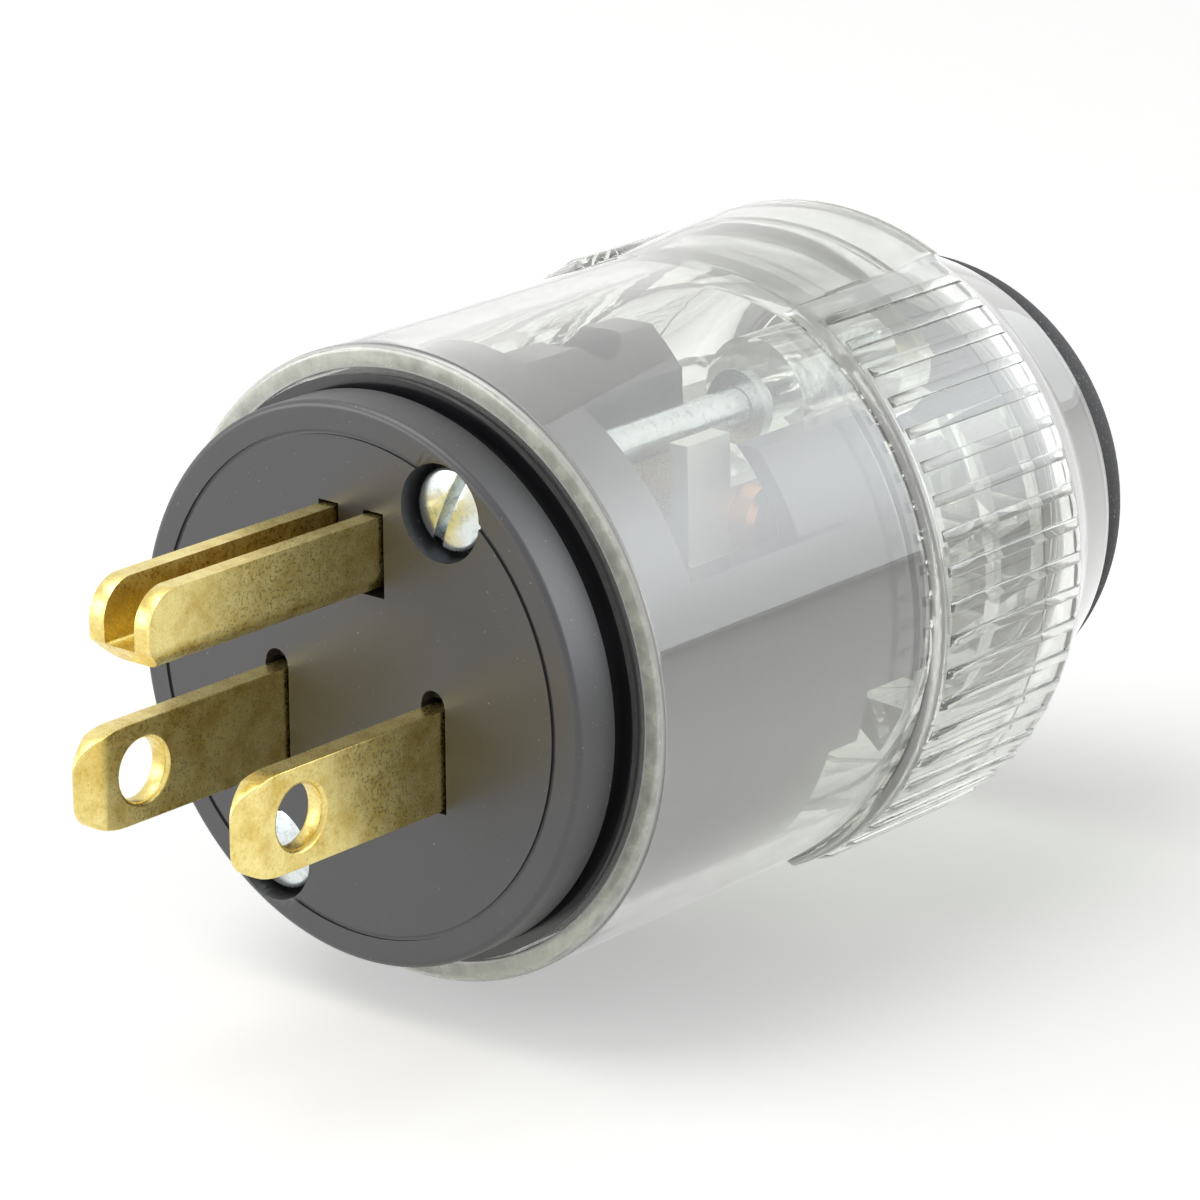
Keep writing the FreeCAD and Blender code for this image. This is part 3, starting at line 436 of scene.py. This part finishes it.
bpy.ops.mesh.bevel(offset=TIP_ROUND * MM, segments=6, affect="EDGES")
close()
clear_choice()
bpy.ops.mesh.primitive_cylinder_add(
    vertices=48, radius=TERMINAL_HOLE_R * MM, depth=4 * MM,
    location=(0, STRIP_HOLE_Y * MM, PIN_LOW * MM))
combine(pin, start_piece("hole_punch"), "DIFFERENCE")
soften(pin, 40, width=0.13, segments=2)
coat(pin, brass)
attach(pin, "root")
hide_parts("ground_pin")

# Assembly screws: two long slotted machine screws of zinc plated steel, sunk in the face's wells.
# A plain shank runs through the carrier, and the rolled thread behind it bites in the housing's
# boss. Washers keep the screws in the carrier.
HEAD_TOP = 0.9
HEAD_R = 2.65
HEAD_HIGH = 1.7
HEAD_ROUND = 0.42
DOME_RINGS = ((0.5, 0.11), (0.6, 0.08), (0.6, 0.03))
SHANK_R = 1.25
CORE_R = 1.0
DRIVER_HALF = 0.4
DRIVER_DEPTH = 0.8
DRIVER_TURNS = (-65, -20)
THREAD_FRONT = 28.0
THREAD_BACK = 39.0
THREAD_PITCH = 0.8
THREAD_START = 0.15
THREAD_HIGH = 0.42
THREAD_ROOT_R = 0.98
ROOT_HALF = 0.36
CREST_HALF = 0.06
PER_TURN = 28


def rolled_thread(x, z):
    """One ridge wound round a screw's core, which runs out over a turn at both ends."""
    mesh = bmesh.new()
    steps = int((THREAD_BACK - THREAD_FRONT) / THREAD_PITCH) * PER_TURN
    rows = []
    for step in range(steps + 1):
        angle = 2 * math.pi * step / PER_TURN
        ease = min(1.0, step / PER_TURN, (steps - step) / PER_TURN)
        y = THREAD_FRONT + THREAD_START + step * THREAD_PITCH / PER_TURN
        crest = CORE_R + THREAD_HIGH * ease
        rows.append([
            mesh.verts.new(((x + r * math.cos(angle)) * MM, (y + along) * MM,
                            (z + r * math.sin(angle)) * MM))
            for r, along in ((THREAD_ROOT_R, -ROOT_HALF), (crest, -CREST_HALF),
                             (crest, CREST_HALF), (THREAD_ROOT_R, ROOT_HALF))])
    for a, b in zip(rows, rows[1:]):
        for i in range(4):
            mesh.faces.new((a[i], a[(i + 1) % 4], b[(i + 1) % 4], b[i]))
    mesh.faces.new(rows[0])
    mesh.faces.new(list(reversed(rows[-1])))
    bmesh.ops.recalc_face_normals(mesh, faces=mesh.faces)
    thread = bpy.data.objects.new("thread", bpy.data.meshes.new("thread"))
    mesh.to_mesh(thread.data)
    mesh.free()
    bpy.context.collection.objects.link(thread)
    soften(thread, 50)
    return thread


screw_parts = []
for (x, z), driver_turn in zip(SCREW_PLACES, DRIVER_TURNS):
    screw = rod(x, HEAD_TOP, HEAD_TOP + HEAD_HIGH, z, HEAD_R, 64)
    screw.name = "long_screw"
    edit(screw)
    choose(screw, "EDGE", lambda part, at: abs(at.y - HEAD_TOP) < NEAR)
    bpy.ops.mesh.bevel(offset=HEAD_ROUND * MM, segments=5, affect="EDGES")
    for ring, rise in DOME_RINGS:
        choose(screw, "FACE", lambda part, at: at.y < HEAD_TOP + NEAR
               and math.hypot(at.x - x, at.z - z) < 0.1)
        bpy.ops.mesh.inset(thickness=ring * MM)
        bpy.ops.transform.translate(value=(0, -rise * MM, 0))
    choose(screw, "FACE", lambda part, at: at.y > HEAD_TOP + HEAD_HIGH - NEAR)
    bpy.ops.mesh.inset(thickness=(HEAD_R - SHANK_R) * MM)
    pull(0, THREAD_FRONT - HEAD_TOP - HEAD_HIGH, 0)
    pull(0, THREAD_BACK - THREAD_FRONT, 0)
    bpy.ops.transform.resize(value=(CORE_R / SHANK_R, 1, CORE_R / SHANK_R),
                             center_override=(x * MM, THREAD_BACK * MM, z * MM))
    close()
    driver = block((x - 4, HEAD_TOP - 1, z - DRIVER_HALF),
                   (x + 4, HEAD_TOP + DRIVER_DEPTH, z + DRIVER_HALF))
    edit(driver)
    bpy.ops.mesh.select_all(action="SELECT")
    bpy.ops.transform.rotate(value=math.radians(-driver_turn), orient_axis="Y",
                             center_override=(x * MM, 0, z * MM))
    close()
    combine(screw, driver, "DIFFERENCE")
    soften(screw, 35, width=0.08, segments=2)
    screw_parts += [screw, rolled_thread(x, z)]

# Zinc plate: a bright cool grey with a faint blue and straw cloud from its clear passivate,
# and small dull patches. The patches are drawn at 0.5 mm.
zinc, spot = new_material("zinc plated steel")
cloud = add(zinc, "TexNoise", {"Scale": per_mm(1.1), "Detail": 4.0}, {"Vector": (spot, "Object")})
patch = add(zinc, "TexNoise", {"Scale": per_mm(0.5), "Detail": 4.0, "Roughness": 0.65},
            {"Vector": (spot, "Object")})
film = add(zinc, "MixRGB", {"Color1": linear("#dde8ee"), "Color2": linear("#d6d9d4")},
           {"Fac": (cloud, "Fac")})
dull = add(zinc, "MapRange", {"From Min": 0.5, "From Max": 0.7, "To Max": 0.45},
           {"Value": (patch, "Fac")})
plate = add(zinc, "MixRGB", {"Color2": linear("#7e898c")},
            {"Fac": (dull, "Result"), "Color1": (film, "Color")})
shine = add(zinc, "MapRange", {"To Min": 0.14, "To Max": 0.36}, {"Value": (patch, "Fac")})
waves = add(zinc, "Bump", {"Strength": 0.12, "Distance": 0.01 * MM}, {"Height": (patch, "Fac")})
skin = add(zinc, "BsdfPrincipled", {"Metallic": 1.0}, {
    "Base Color": (plate, "Color"), "Roughness": (shine, "Result"), "Normal": (waves, "Normal")})
surface(zinc, skin)
pick(screw_parts[0])
for screw_part in screw_parts:
    screw_part.select_set(True)
bpy.ops.object.join()
long_screws = bpy.context.object
long_screws.name = "long_screws"
coat(long_screws, zinc)
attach(long_screws, "root")
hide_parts("assembly_screws")
coat(nodes["screw_keepers"], zinc)

# Contact carrier: the black moulding behind the face, seen through the clear housing.
# It is the same nylon from a polished mould, darker and with more shine than the face.
# It keeps the shape of the solid.
inner_nylon, spot = new_material("polished black nylon")
cloud = add(inner_nylon, "TexNoise", {"Scale": per_mm(5.0), "Detail": 3.0},
            {"Vector": (spot, "Object")})
grain = add(inner_nylon, "TexNoise", {"Scale": per_mm(0.12), "Detail": 2.0},
            {"Vector": (spot, "Object")})
tone = add(inner_nylon, "MixRGB", {"Color1": linear("#18181a"), "Color2": linear("#252629")},
           {"Fac": (cloud, "Fac")})
shine = add(inner_nylon, "MapRange", {"To Min": 0.13, "To Max": 0.24}, {"Value": (cloud, "Fac")})
bumps = add(inner_nylon, "Bump", {"Strength": 0.12, "Distance": 0.02 * MM},
            {"Height": (grain, "Fac")})
skin = add(inner_nylon, "BsdfPrincipled", {"IOR": 1.53, "Specular IOR Level": 0.9}, {
    "Base Color": (tone, "Color"), "Roughness": (shine, "Result"), "Normal": (bumps, "Normal")})
surface(inner_nylon, skin)
coat(nodes["contact_carrier"], inner_nylon)

# Terminal clamps: small angles and a plate stamped from steel strip and plated dull white.
# Each is held on its tab by one screw, and keeps the shape of the solid.
strip, spot = new_material("dull plated steel strip")
cloud = add(strip, "TexNoise", {"Scale": per_mm(1.6), "Detail": 4.0}, {"Vector": (spot, "Object")})
plate = add(strip, "MixRGB", {"Color1": linear("#d4d5d2"), "Color2": linear("#e9e8e1")},
            {"Fac": (cloud, "Fac")})
shine = add(strip, "MapRange", {"To Min": 0.34, "To Max": 0.52}, {"Value": (cloud, "Fac")})
skin = add(strip, "BsdfPrincipled", {"Metallic": 0.55}, {
    "Base Color": (plate, "Color"), "Roughness": (shine, "Result")})
surface(strip, skin)
for name in ("line_clamp", "neutral_clamp", "ground_clamp"):
    coat(nodes[name], strip)

# Terminal screws: pan head screws, brass for the line, plated for the neutral and green for the
# ground. They are turned and plated, with a soft bright finish that clouds a little.
for name, title, low, high in (
        ("line_terminal_screw", "turned brass", "#8a5b33", "#c08a52"),
        ("neutral_terminal_screw", "bright plated screw steel", "#b9bfc3", "#d8dcdd"),
        ("ground_terminal_screw", "green dyed zinc plate", "#1c5a30", "#2f7a48")):
    plating, spot = new_material(title)
    cloud = add(plating, "TexNoise", {"Scale": per_mm(0.8), "Detail": 4.0},
                {"Vector": (spot, "Object")})
    plate = add(plating, "MixRGB", {"Color1": linear(low), "Color2": linear(high)},
                {"Fac": (cloud, "Fac")})
    shine = add(plating, "MapRange", {"To Min": 0.22, "To Max": 0.42}, {"Value": (cloud, "Fac")})
    skin = add(plating, "BsdfPrincipled", {"Metallic": 1.0}, {
        "Base Color": (plate, "Color"), "Roughness": (shine, "Result")})
    surface(plating, skin)
    coat(nodes[name], plating)

# Clear housing: one injection moulding of clear polycarbonate, a bored tube with a tapered rear.
# Two ribbed grip pads lie left and right, two smooth panels above and below, and two bosses take
# the screws. Its section is drawn as places along the axis, each with its radius.
COLUMNS = 348
STEP = 360 / COLUMNS
SHELL_R = 20.08
BORE_R = 18.62
PAD_HIGH = 0.65
PAD_ROWS = ((31.06, 0.14), (31.18, 0.38), (31.36, 0.66), (31.6, 0.88), (31.9, 0.98), (32.3, 1),
            (32.9, 1), (35.0, 1), (38.0, 1), (41.0, 1), (44.0, 1), (45.6, 1), (46.1, 0.97),
            (46.4, 0.82), (46.55, 0.5))
PAD_BACK = 46.6
PANEL_HALF = 25.5
PANEL_RISE = 1.1
RIB_COUNT = 20
RIB_EVERY = 6
RIB_WIDE = 2
RIB_FRONT = 32.3
RIB_BACK = 46.1
RIB_HIGH = 0.26
RIB_END_SHARE = 20.68 / 20.9
RIB_ROUND = 0.1
BOSS_R = 3.9
BOSS_FRONT = 29.0
BOSS_BACK = 41.0
BOSS_HOLE_R = 1.47
BOSS_HOLE_BACK = 39.5
lip_line = [(4.98, BORE_R), (4.89, 18.66), (4.85, 18.76), (4.85, 19.62), (4.89, 19.80),
            (4.99, 19.95), (5.15, 20.05)]
tube_line = [(y, SHELL_R) for y in (5.40, 12.0, 20.0, 28.0, 31.0)]
pad_line = [(row, SHELL_R) for row, share in PAD_ROWS]
tail_line = [(PAD_BACK, SHELL_R), (46.65, 20.06), (48.5, 19.16), (50.2, 18.22), (50.8, 17.88),
             (51.4, 17.65), (54.0, 16.65), (56.3, 15.76), (56.6, 15.58), (56.7, 15.35)]
seat_line = [(56.7, 13.35), (56.6, 13.2), (51.0, 13.2), (51.0, 14.2)]
throat_line = [(50.6, 14.9), (49.6, 15.9), (48.0, 16.6), (46.5, 16.95), (44.0, 17.1),
               (40.0, 17.15), (36.0, 17.2), (33.6, 17.2), (33.3, 17.5)]
bore_line = [(y, BORE_R) for y in (33.3, 28.0, 20.0, 12.0, 7.0)]
outline = lip_line + tube_line + pad_line + tail_line + seat_line + throat_line + bore_line


def from_panel(place):
    """Degrees round the axis from the middle of the nearer panel, at the top or the bottom."""
    return abs(abs(math.degrees(math.atan2(place.z, place.x))) - 90)


def swell(row, on_panel, wanted):
    """Brings one row's outer vertices, on the panels or on the pads, to a radius."""
    choose(shell, "VERT", lambda part, at: radius(at) > SHELL_R - 0.18 and abs(at.y - row) < NEAR
           and (from_panel(at) < PANEL_HALF) == on_panel)
    mesh = bmesh.from_edit_mesh(shell.data)
    chosen = [v for v in mesh.verts if v.select]
    now = radius(chosen[0].co) / MM
    bpy.ops.transform.resize(value=(wanted / now, 1, wanted / now), center_override=(0, 0, 0))


def on_rib(at):
    """Whether a face of a grip pad lies on one of its ribs: two columns of every six."""
    first = -((RIB_COUNT - 1) * RIB_EVERY + RIB_WIDE) / 2
    for side in (1, -1):
        turn = math.degrees(math.atan2(at.z, side * at.x))
        column = math.floor(turn / STEP - first)
        if 0 <= column < RIB_COUNT * RIB_EVERY and column % RIB_EVERY < RIB_WIDE:
            return True
    return False


def rib_crest(edge, at):
    """Whether an edge runs along the top of a rib, with a corner sharp enough to round."""
    on_top = radius(at) > 20.85 and RIB_FRONT - 1 < at.y < RIB_BACK + 0.2
    along_rib = abs(edge.verts[0].co.y - edge.verts[1].co.y) > 0.1 * MM
    return on_top and along_rib and len(edge.link_faces) == 2 and edge.calc_face_angle() > 0.8


clear_choice()
bpy.ops.mesh.primitive_circle_add(
    vertices=COLUMNS, radius=outline[0][1] * MM, location=(0, outline[0][0] * MM, 0),
    rotation=(math.pi / 2, 0, 0))
shell = start_piece("clear_shell")
edit(shell)
bpy.ops.mesh.select_mode(type="VERT")
bpy.ops.mesh.select_all(action="SELECT")
for (y0, r0), (y1, r1) in zip(outline, outline[1:] + outline[:1]):
    pull(0, y1 - y0, 0)
    bpy.ops.transform.resize(value=(r1 / r0, 1, r1 / r0), center_override=(0, y1 * MM, 0))
bpy.ops.mesh.select_all(action="SELECT")
bpy.ops.mesh.remove_doubles(threshold=0.002 * MM)
bpy.ops.mesh.normals_make_consistent(inside=False)
for row, share in PAD_ROWS:
    swell(row, False, SHELL_R + PAD_HIGH * share)
    if row > RIB_FRONT:
        rise = PANEL_RISE * (row - RIB_FRONT) / (PAD_BACK - RIB_FRONT)
        swell(row, True, SHELL_R + rise * share)
choose(shell, "FACE", lambda part, at: radius(at) > SHELL_R + NEAR and on_rib(at)
       and RIB_FRONT < at.y < RIB_BACK and from_panel(at) > PANEL_HALF + 0.6)
bpy.ops.mesh.extrude_region_shrink_fatten(TRANSFORM_OT_shrink_fatten={"value": RIB_HIGH * MM})
for rib_end in (RIB_FRONT, RIB_BACK):
    choose(shell, "VERT", lambda part, at: radius(at) > 20.8 and abs(at.y - rib_end) < 0.05)
    bpy.ops.transform.resize(value=(RIB_END_SHARE, 1, RIB_END_SHARE), center_override=(0, 0, 0))
choose(shell, "EDGE", rib_crest)
bpy.ops.mesh.bevel(offset=RIB_ROUND * MM, segments=2, affect="EDGES")
close()
for x, z in SCREW_PLACES:
    combine(shell, rod(x, BOSS_FRONT, BOSS_BACK, z, BOSS_R, 96), "UNION")
    combine(shell, rod(x, BOSS_FRONT - 0.5, BOSS_HOLE_BACK, z, BOSS_HOLE_R, 64), "DIFFERENCE")
soften(shell, 30)

# Clear polycarbonate: polished and water clear, with a faint waviness from the mould. The lip's
# front is drawn milky, streaked and a little green: partly a rough moulded edge, and partly
# painted glow for the light that the whole wall gathers into it.
clear, spot = new_material("clear polycarbonate")
swirl = add(clear, "TexNoise", {"Scale": per_mm(6.0), "Detail": 2.0}, {"Vector": (spot, "Object")})
waves = add(clear, "Bump", {"Strength": 0.25, "Distance": 0.05 * MM}, {"Height": (swirl, "Fac")})
along = add(clear, "SeparateXYZ", links={"Vector": (spot, "Object")})
lip = add(clear, "MapRange", {
    "From Min": 4.9 * MM, "From Max": 5.25 * MM, "To Min": 1.0, "To Max": 0.0},
    {"Value": (along, "Y")})
flat = add(clear, "Mapping", {"Scale": (1.0, 0.0, 1.0)}, {"Vector": (spot, "Object")})
from_axis = add(clear, "VectorMath", links={0: (flat, "Vector")}, operation="LENGTH")
streaks = add(clear, "TexNoise", {"Scale": per_mm(1.6), "Detail": 3.0, "Roughness": 0.55},
              {"Vector": (spot, "Object")})
lip_milk_and_glow = add(clear, "MapRange", {"From Min": 0.36, "From Max": 0.64, "To Min": 0.6, "To Max": 0.95},
           {"Value": (streaks, "Fac")})
# The lip's inner and outer edges are painted milkier than its middle: painted highlights.
off_middle = add(clear, "Math", {1: 19.34 * MM}, {0: (from_axis, "Value")}, operation="SUBTRACT")
off_middle = add(clear, "Math", links={0: (off_middle, "Value")}, operation="ABSOLUTE")
edges = add(clear, "MapRange", {"From Min": 0.40 * MM, "From Max": 0.58 * MM},
            {"Value": (off_middle, "Value")})
lip_milk_and_glow = add(clear, "Math", links={0: (lip_milk_and_glow, "Result"), 1: (edges, "Result")}, operation="MAXIMUM")
milk_and_painted_glow = add(clear, "Math", links={0: (lip, "Result"), 1: (lip_milk_and_glow, "Value")}, operation="MULTIPLY")
# The front slope of a grip pad is painted milky: a painted glint for the light that its rounded
# front catches.
raised = add(clear, "MapRange", {"From Min": 20.09 * MM, "From Max": 20.25 * MM},
             {"Value": (from_axis, "Value")})
front = add(clear, "MapRange", {
    "From Min": 31.75 * MM, "From Max": 32.05 * MM, "To Min": 1.0, "To Max": 0.0},
    {"Value": (along, "Y")})
painted_pad_front_glint = add(clear, "Math", links={0: (raised, "Result"), 1: (front, "Result")},
            operation="MULTIPLY")
painted_pad_front_glint = add(clear, "Math", {1: 0.45}, {0: (painted_pad_front_glint, "Value")}, operation="MULTIPLY")
milk_and_painted_glow = add(clear, "Math", links={0: (milk_and_painted_glow, "Value"), 1: (painted_pad_front_glint, "Value")}, operation="MAXIMUM")
shine = add(clear, "MapRange", {"To Min": 0.012, "To Max": 0.32}, {"Value": (milk_and_painted_glow, "Value")})
# The rear bore is a little matt under the two smooth panels.
bore = add(clear, "MapRange", {
    "From Min": 17.3 * MM, "From Max": 17.7 * MM, "To Min": 0.34, "To Max": 0.0},
    {"Value": (from_axis, "Value")})
behind = add(clear, "MapRange", {"From Min": 33.1 * MM, "From Max": 33.6 * MM},
             {"Value": (along, "Y")})
sideways = add(clear, "Math", links={0: (along, "X")}, operation="ABSOLUTE")
panel = add(clear, "MapRange", {
    "From Min": 6.5 * MM, "From Max": 9.5 * MM, "To Min": 1.0, "To Max": 0.12},
    {"Value": (sideways, "Value")})
matt = add(clear, "Math", links={0: (bore, "Result"), 1: (behind, "Result")}, operation="MULTIPLY")
matt = add(clear, "Math", links={0: (matt, "Value"), 1: (panel, "Result")}, operation="MULTIPLY")
milk_and_painted_glow = add(clear, "Math", links={0: (milk_and_painted_glow, "Value"), 1: (matt, "Value")}, operation="MAXIMUM")
# A pale strip lies at each long end of a grip pad, where it meets a panel.
inside = add(clear, "MapRange", {"From Min": 8.6 * MM, "From Max": 8.9 * MM, "To Max": 0.45},
             {"Value": (sideways, "Value")})
outside = add(clear, "MapRange", {
    "From Min": 10.4 * MM, "From Max": 10.8 * MM, "To Min": 1.0, "To Max": 0.0},
    {"Value": (sideways, "Value")})
pad_end = add(clear, "Math", links={0: (inside, "Result"), 1: (outside, "Result")},
              operation="MULTIPLY")
pad_end = add(clear, "Math", links={0: (pad_end, "Value"), 1: (raised, "Result")},
              operation="MULTIPLY")
milk_and_painted_glow = add(clear, "Math", links={0: (milk_and_painted_glow, "Value"), 1: (pad_end, "Value")},
             operation="MAXIMUM")
open_share = add(clear, "Math", {0: 1.0}, {1: (milk_and_painted_glow, "Value")}, operation="SUBTRACT")
# The lip's colour turns paler at its inner and outer edges: painted highlight.
pale = add(clear, "MixRGB", {"Color1": linear("#ecefdf"), "Color2": linear("#fbfaf2")},
           {"Fac": (edges, "Result")})
tint = add(clear, "MixRGB", {"Color1": linear("#fdfefb")},
           {"Fac": (lip, "Result"), "Color2": (pale, "Color")})
skin = add(clear, "BsdfPrincipled", {
    "IOR": 1.58, "Coat Weight": 1.0, "Coat IOR": 1.6, "Coat Roughness": 0.015}, {
    "Base Color": (tint, "Color"), "Roughness": (shine, "Result"), "Normal": (waves, "Normal"),
    "Transmission Weight": (open_share, "Value")})
# The lamps shine straight through, so the pieces inside are lit.
rays = add(clear, "LightPath")
lit = add(clear, "Math", links={0: (rays, "Is Shadow Ray"), 1: (rays, "Is Diffuse Ray")},
          operation="MAXIMUM")
through = add(clear, "BsdfTransparent", {"Color": linear("#f1f3ee")})
wall = add(clear, "MixShader", links={0: (lit, "Value"), 1: (skin, 0), 2: (through, 0)})
depth = add(clear, "VolumeAbsorption", {"Color": linear("#ebeee2"), "Density": 26.0})
surface(clear, wall, depth)
coat(shell, clear)
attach(shell, "root")
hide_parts("clear_housing")

# Cord jaws: two clear toothed half rings that close on the cord inside the throat.
# They are moulded of the same polycarbonate and keep the shape of the solids.
for name in ("left_cord_jaw", "right_cord_jaw"):
    coat(nodes[name], clear)

# Cord seal: a plug of black rubber pressed into the rear opening, with a hole for the cord.
# Moulded rubber is matt and a little grey, and it holds dust. It keeps the shape of the solid.
rubber, spot = new_material("black moulded rubber")
cloud = add(rubber, "TexNoise", {"Scale": per_mm(3.0), "Detail": 4.0}, {"Vector": (spot, "Object")})
grain = add(rubber, "TexNoise", {"Scale": per_mm(0.14), "Detail": 3.0},
            {"Vector": (spot, "Object")})
dust = add(rubber, "TexNoise", {"Scale": per_mm(0.22), "Detail": 1.0}, {"Vector": (spot, "Object")})
specks = add(rubber, "MapRange", {"From Min": 0.66, "From Max": 0.74, "To Max": 0.55},
             {"Value": (dust, "Fac")})
tone = add(rubber, "MixRGB", {"Color1": linear("#1b1b1d"), "Color2": linear("#2b2b2d")},
           {"Fac": (cloud, "Fac")})
dusted = add(rubber, "MixRGB", {"Color2": linear("#b5b2aa")},
             {"Fac": (specks, "Result"), "Color1": (tone, "Color")})
shine = add(rubber, "MapRange", {"To Min": 0.58, "To Max": 0.8}, {"Value": (grain, "Fac")})
bumps = add(rubber, "Bump", {"Strength": 0.35, "Distance": 0.03 * MM}, {"Height": (grain, "Fac")})
skin = add(rubber, "BsdfPrincipled", {"IOR": 1.52}, {
    "Base Color": (dusted, "Color"), "Roughness": (shine, "Result"), "Normal": (bumps, "Normal")})
surface(rubber, skin)
coat(nodes["cord_seal"], rubber)

# Floor and backdrop: one wide sheet of white card that the plug lies on.
# Seen by the eye, or in metal and clear plastic, the card past the shadow is white.
clear_choice()
bpy.ops.mesh.primitive_plane_add(size=6, location=(0, 0, cad_box[0].z - 0.0001))
floor = start_piece("white_card")
card, spot = new_material("white card")
fibre = add(card, "TexNoise", {"Scale": per_mm(2.0), "Detail": 3.0}, {"Vector": (spot, "Object")})
white = add(card, "MixRGB", {"Color1": linear("#f6f6f5"), "Color2": linear("#fbfbfa")},
            {"Fac": (fibre, "Fac")})
skin = add(card, "BsdfPrincipled", {"Roughness": 0.9, "Specular IOR Level": 0.0},
           {"Base Color": (white, "Color")})
rays = add(card, "LightPath")
mirrored = add(card, "Math", links={0: (rays, "Is Glossy Ray"), 1: (rays, "Is Transmission Ray")},
               operation="MAXIMUM")
mirrored = add(card, "Math", {1: 0.5}, {0: (mirrored, "Value")}, operation="MULTIPLY")
direct = add(card, "Math", {1: 0.42}, {0: (rays, "Is Camera Ray")}, operation="MULTIPLY")
level = add(card, "Math", links={0: (mirrored, "Value"), 1: (direct, "Value")}, operation="MAXIMUM")
glow = add(card, "Emission", {"Color": (1, 1, 1, 1)}, {"Strength": (level, "Value")})
both = add(card, "AddShader", links={0: (skin, 0), 1: (glow, 0)})
surface(card, both)
coat(floor, card)

# Studio light: a soft box above, a soft fill on the left and an even white room round them.
# A white wall behind on the right shows only in glossy pieces, and it grows darker towards its
# top, its foot and its left end.
LIGHT_AIM = Vector((0, 0.015, 0))
lamps = {}
for title, place, size, power in (
        ("soft box above", (-0.25, -0.20, 0.75), (0.55, 0.55), 2.5),
        ("white wall behind right", (0.55, 1.0, 0.52), (2.9, 1.1), 25.0),
        ("soft fill left", (-0.70, -0.70, 0.25), (0.7, 0.5), 3.0)):
    lamp = bpy.data.lights.new(title, "AREA")
    lamp.shape = "RECTANGLE"
    lamp.size, lamp.size_y = size
    lamp.energy = power
    box = bpy.data.objects.new(title, lamp)
    bpy.context.scene.collection.objects.link(box)
    box.location = place
    box.rotation_euler = (LIGHT_AIM - Vector(place)).to_track_quat("-Z", "Y").to_euler()
    box.visible_camera = False
    box.visible_transmission = False
    lamps[title] = box
wall_box = lamps["white wall behind right"]
wall_box.visible_diffuse = False
wall_lamp = wall_box.data
wall_lamp.use_nodes = True
wall_lamp.node_tree.nodes.clear()
sheet_spot = add(wall_lamp, "NewGeometry")
across = add(wall_lamp, "SeparateXYZ", links={"Vector": (sheet_spot, "Parametric")})
top, foot, left_end = [
    add(wall_lamp, "MapRange",
        {"From Min": start, "From Max": end, "To Min": first, "To Max": last},
        {"Value": (across, axis)}, interpolation_type="SMOOTHSTEP")
    for axis, start, end, first, last in (
        ("Y", 0.5, 1.0, 1.0, 0.2), ("Y", 0.0, 0.5, 0.46, 1.0), ("X", 0.6, 0.85, 1.0, 0.25))]
level = add(wall_lamp, "Math", links={0: (top, "Result"), 1: (foot, "Result")},
            operation="MULTIPLY")
level = add(wall_lamp, "Math", links={0: (level, "Value"), 1: (left_end, "Result")},
            operation="MULTIPLY")
shining = add(wall_lamp, "Emission", {"Color": (0.92, 0.96, 1.0, 1.0)},
              {"Strength": (level, "Value")})
add(wall_lamp, "OutputLight", links={"Surface": (shining, 0)})
room = bpy.data.worlds.new("white room")
bpy.context.scene.world = room
room.use_nodes = True
room.node_tree.nodes.clear()
rays = add(room, "LightPath")
seen = add(room, "Math", links={0: (rays, "Is Camera Ray"), 1: (rays, "Is Transmission Ray")},
           operation="MAXIMUM")
seen = add(room, "Math", links={0: (seen, "Value"), 1: (rays, "Is Glossy Ray")},
           operation="MAXIMUM")
level = add(room, "MapRange", {"To Min": 0.32, "To Max": 1.0}, {"Value": (seen, "Value")})
sky = add(room, "Background", {"Color": (1, 1, 1, 1)}, {"Strength": (level, "Result")})
add(room, "OutputWorld", links={"Surface": (sky, 0)})

# Camera: a long lens in front on the right and a little above.
# It is rolled by a third of a degree.
CAMERA_PLACE = (0.21855, -0.23672, 0.10975)
AROUND = math.radians(40.075)
ABOVE = math.radians(17.96)
ROLL = math.radians(-0.33)
lens = bpy.data.cameras.new("camera")
lens.sensor_width = 36
lens.lens = 169.4
lens.clip_start = 0.01
lens.clip_end = 20
camera = bpy.data.objects.new("camera", lens)
bpy.context.scene.collection.objects.link(camera)
camera.matrix_world = (
    Matrix.Translation(CAMERA_PLACE) @ Matrix.Rotation(AROUND, 4, "Z")
    @ Matrix.Rotation(math.pi / 2 - ABOVE, 4, "X") @ Matrix.Rotation(ROLL, 4, "Z"))
bpy.context.scene.camera = camera
bpy.context.scene.view_settings.view_transform = "Standard"
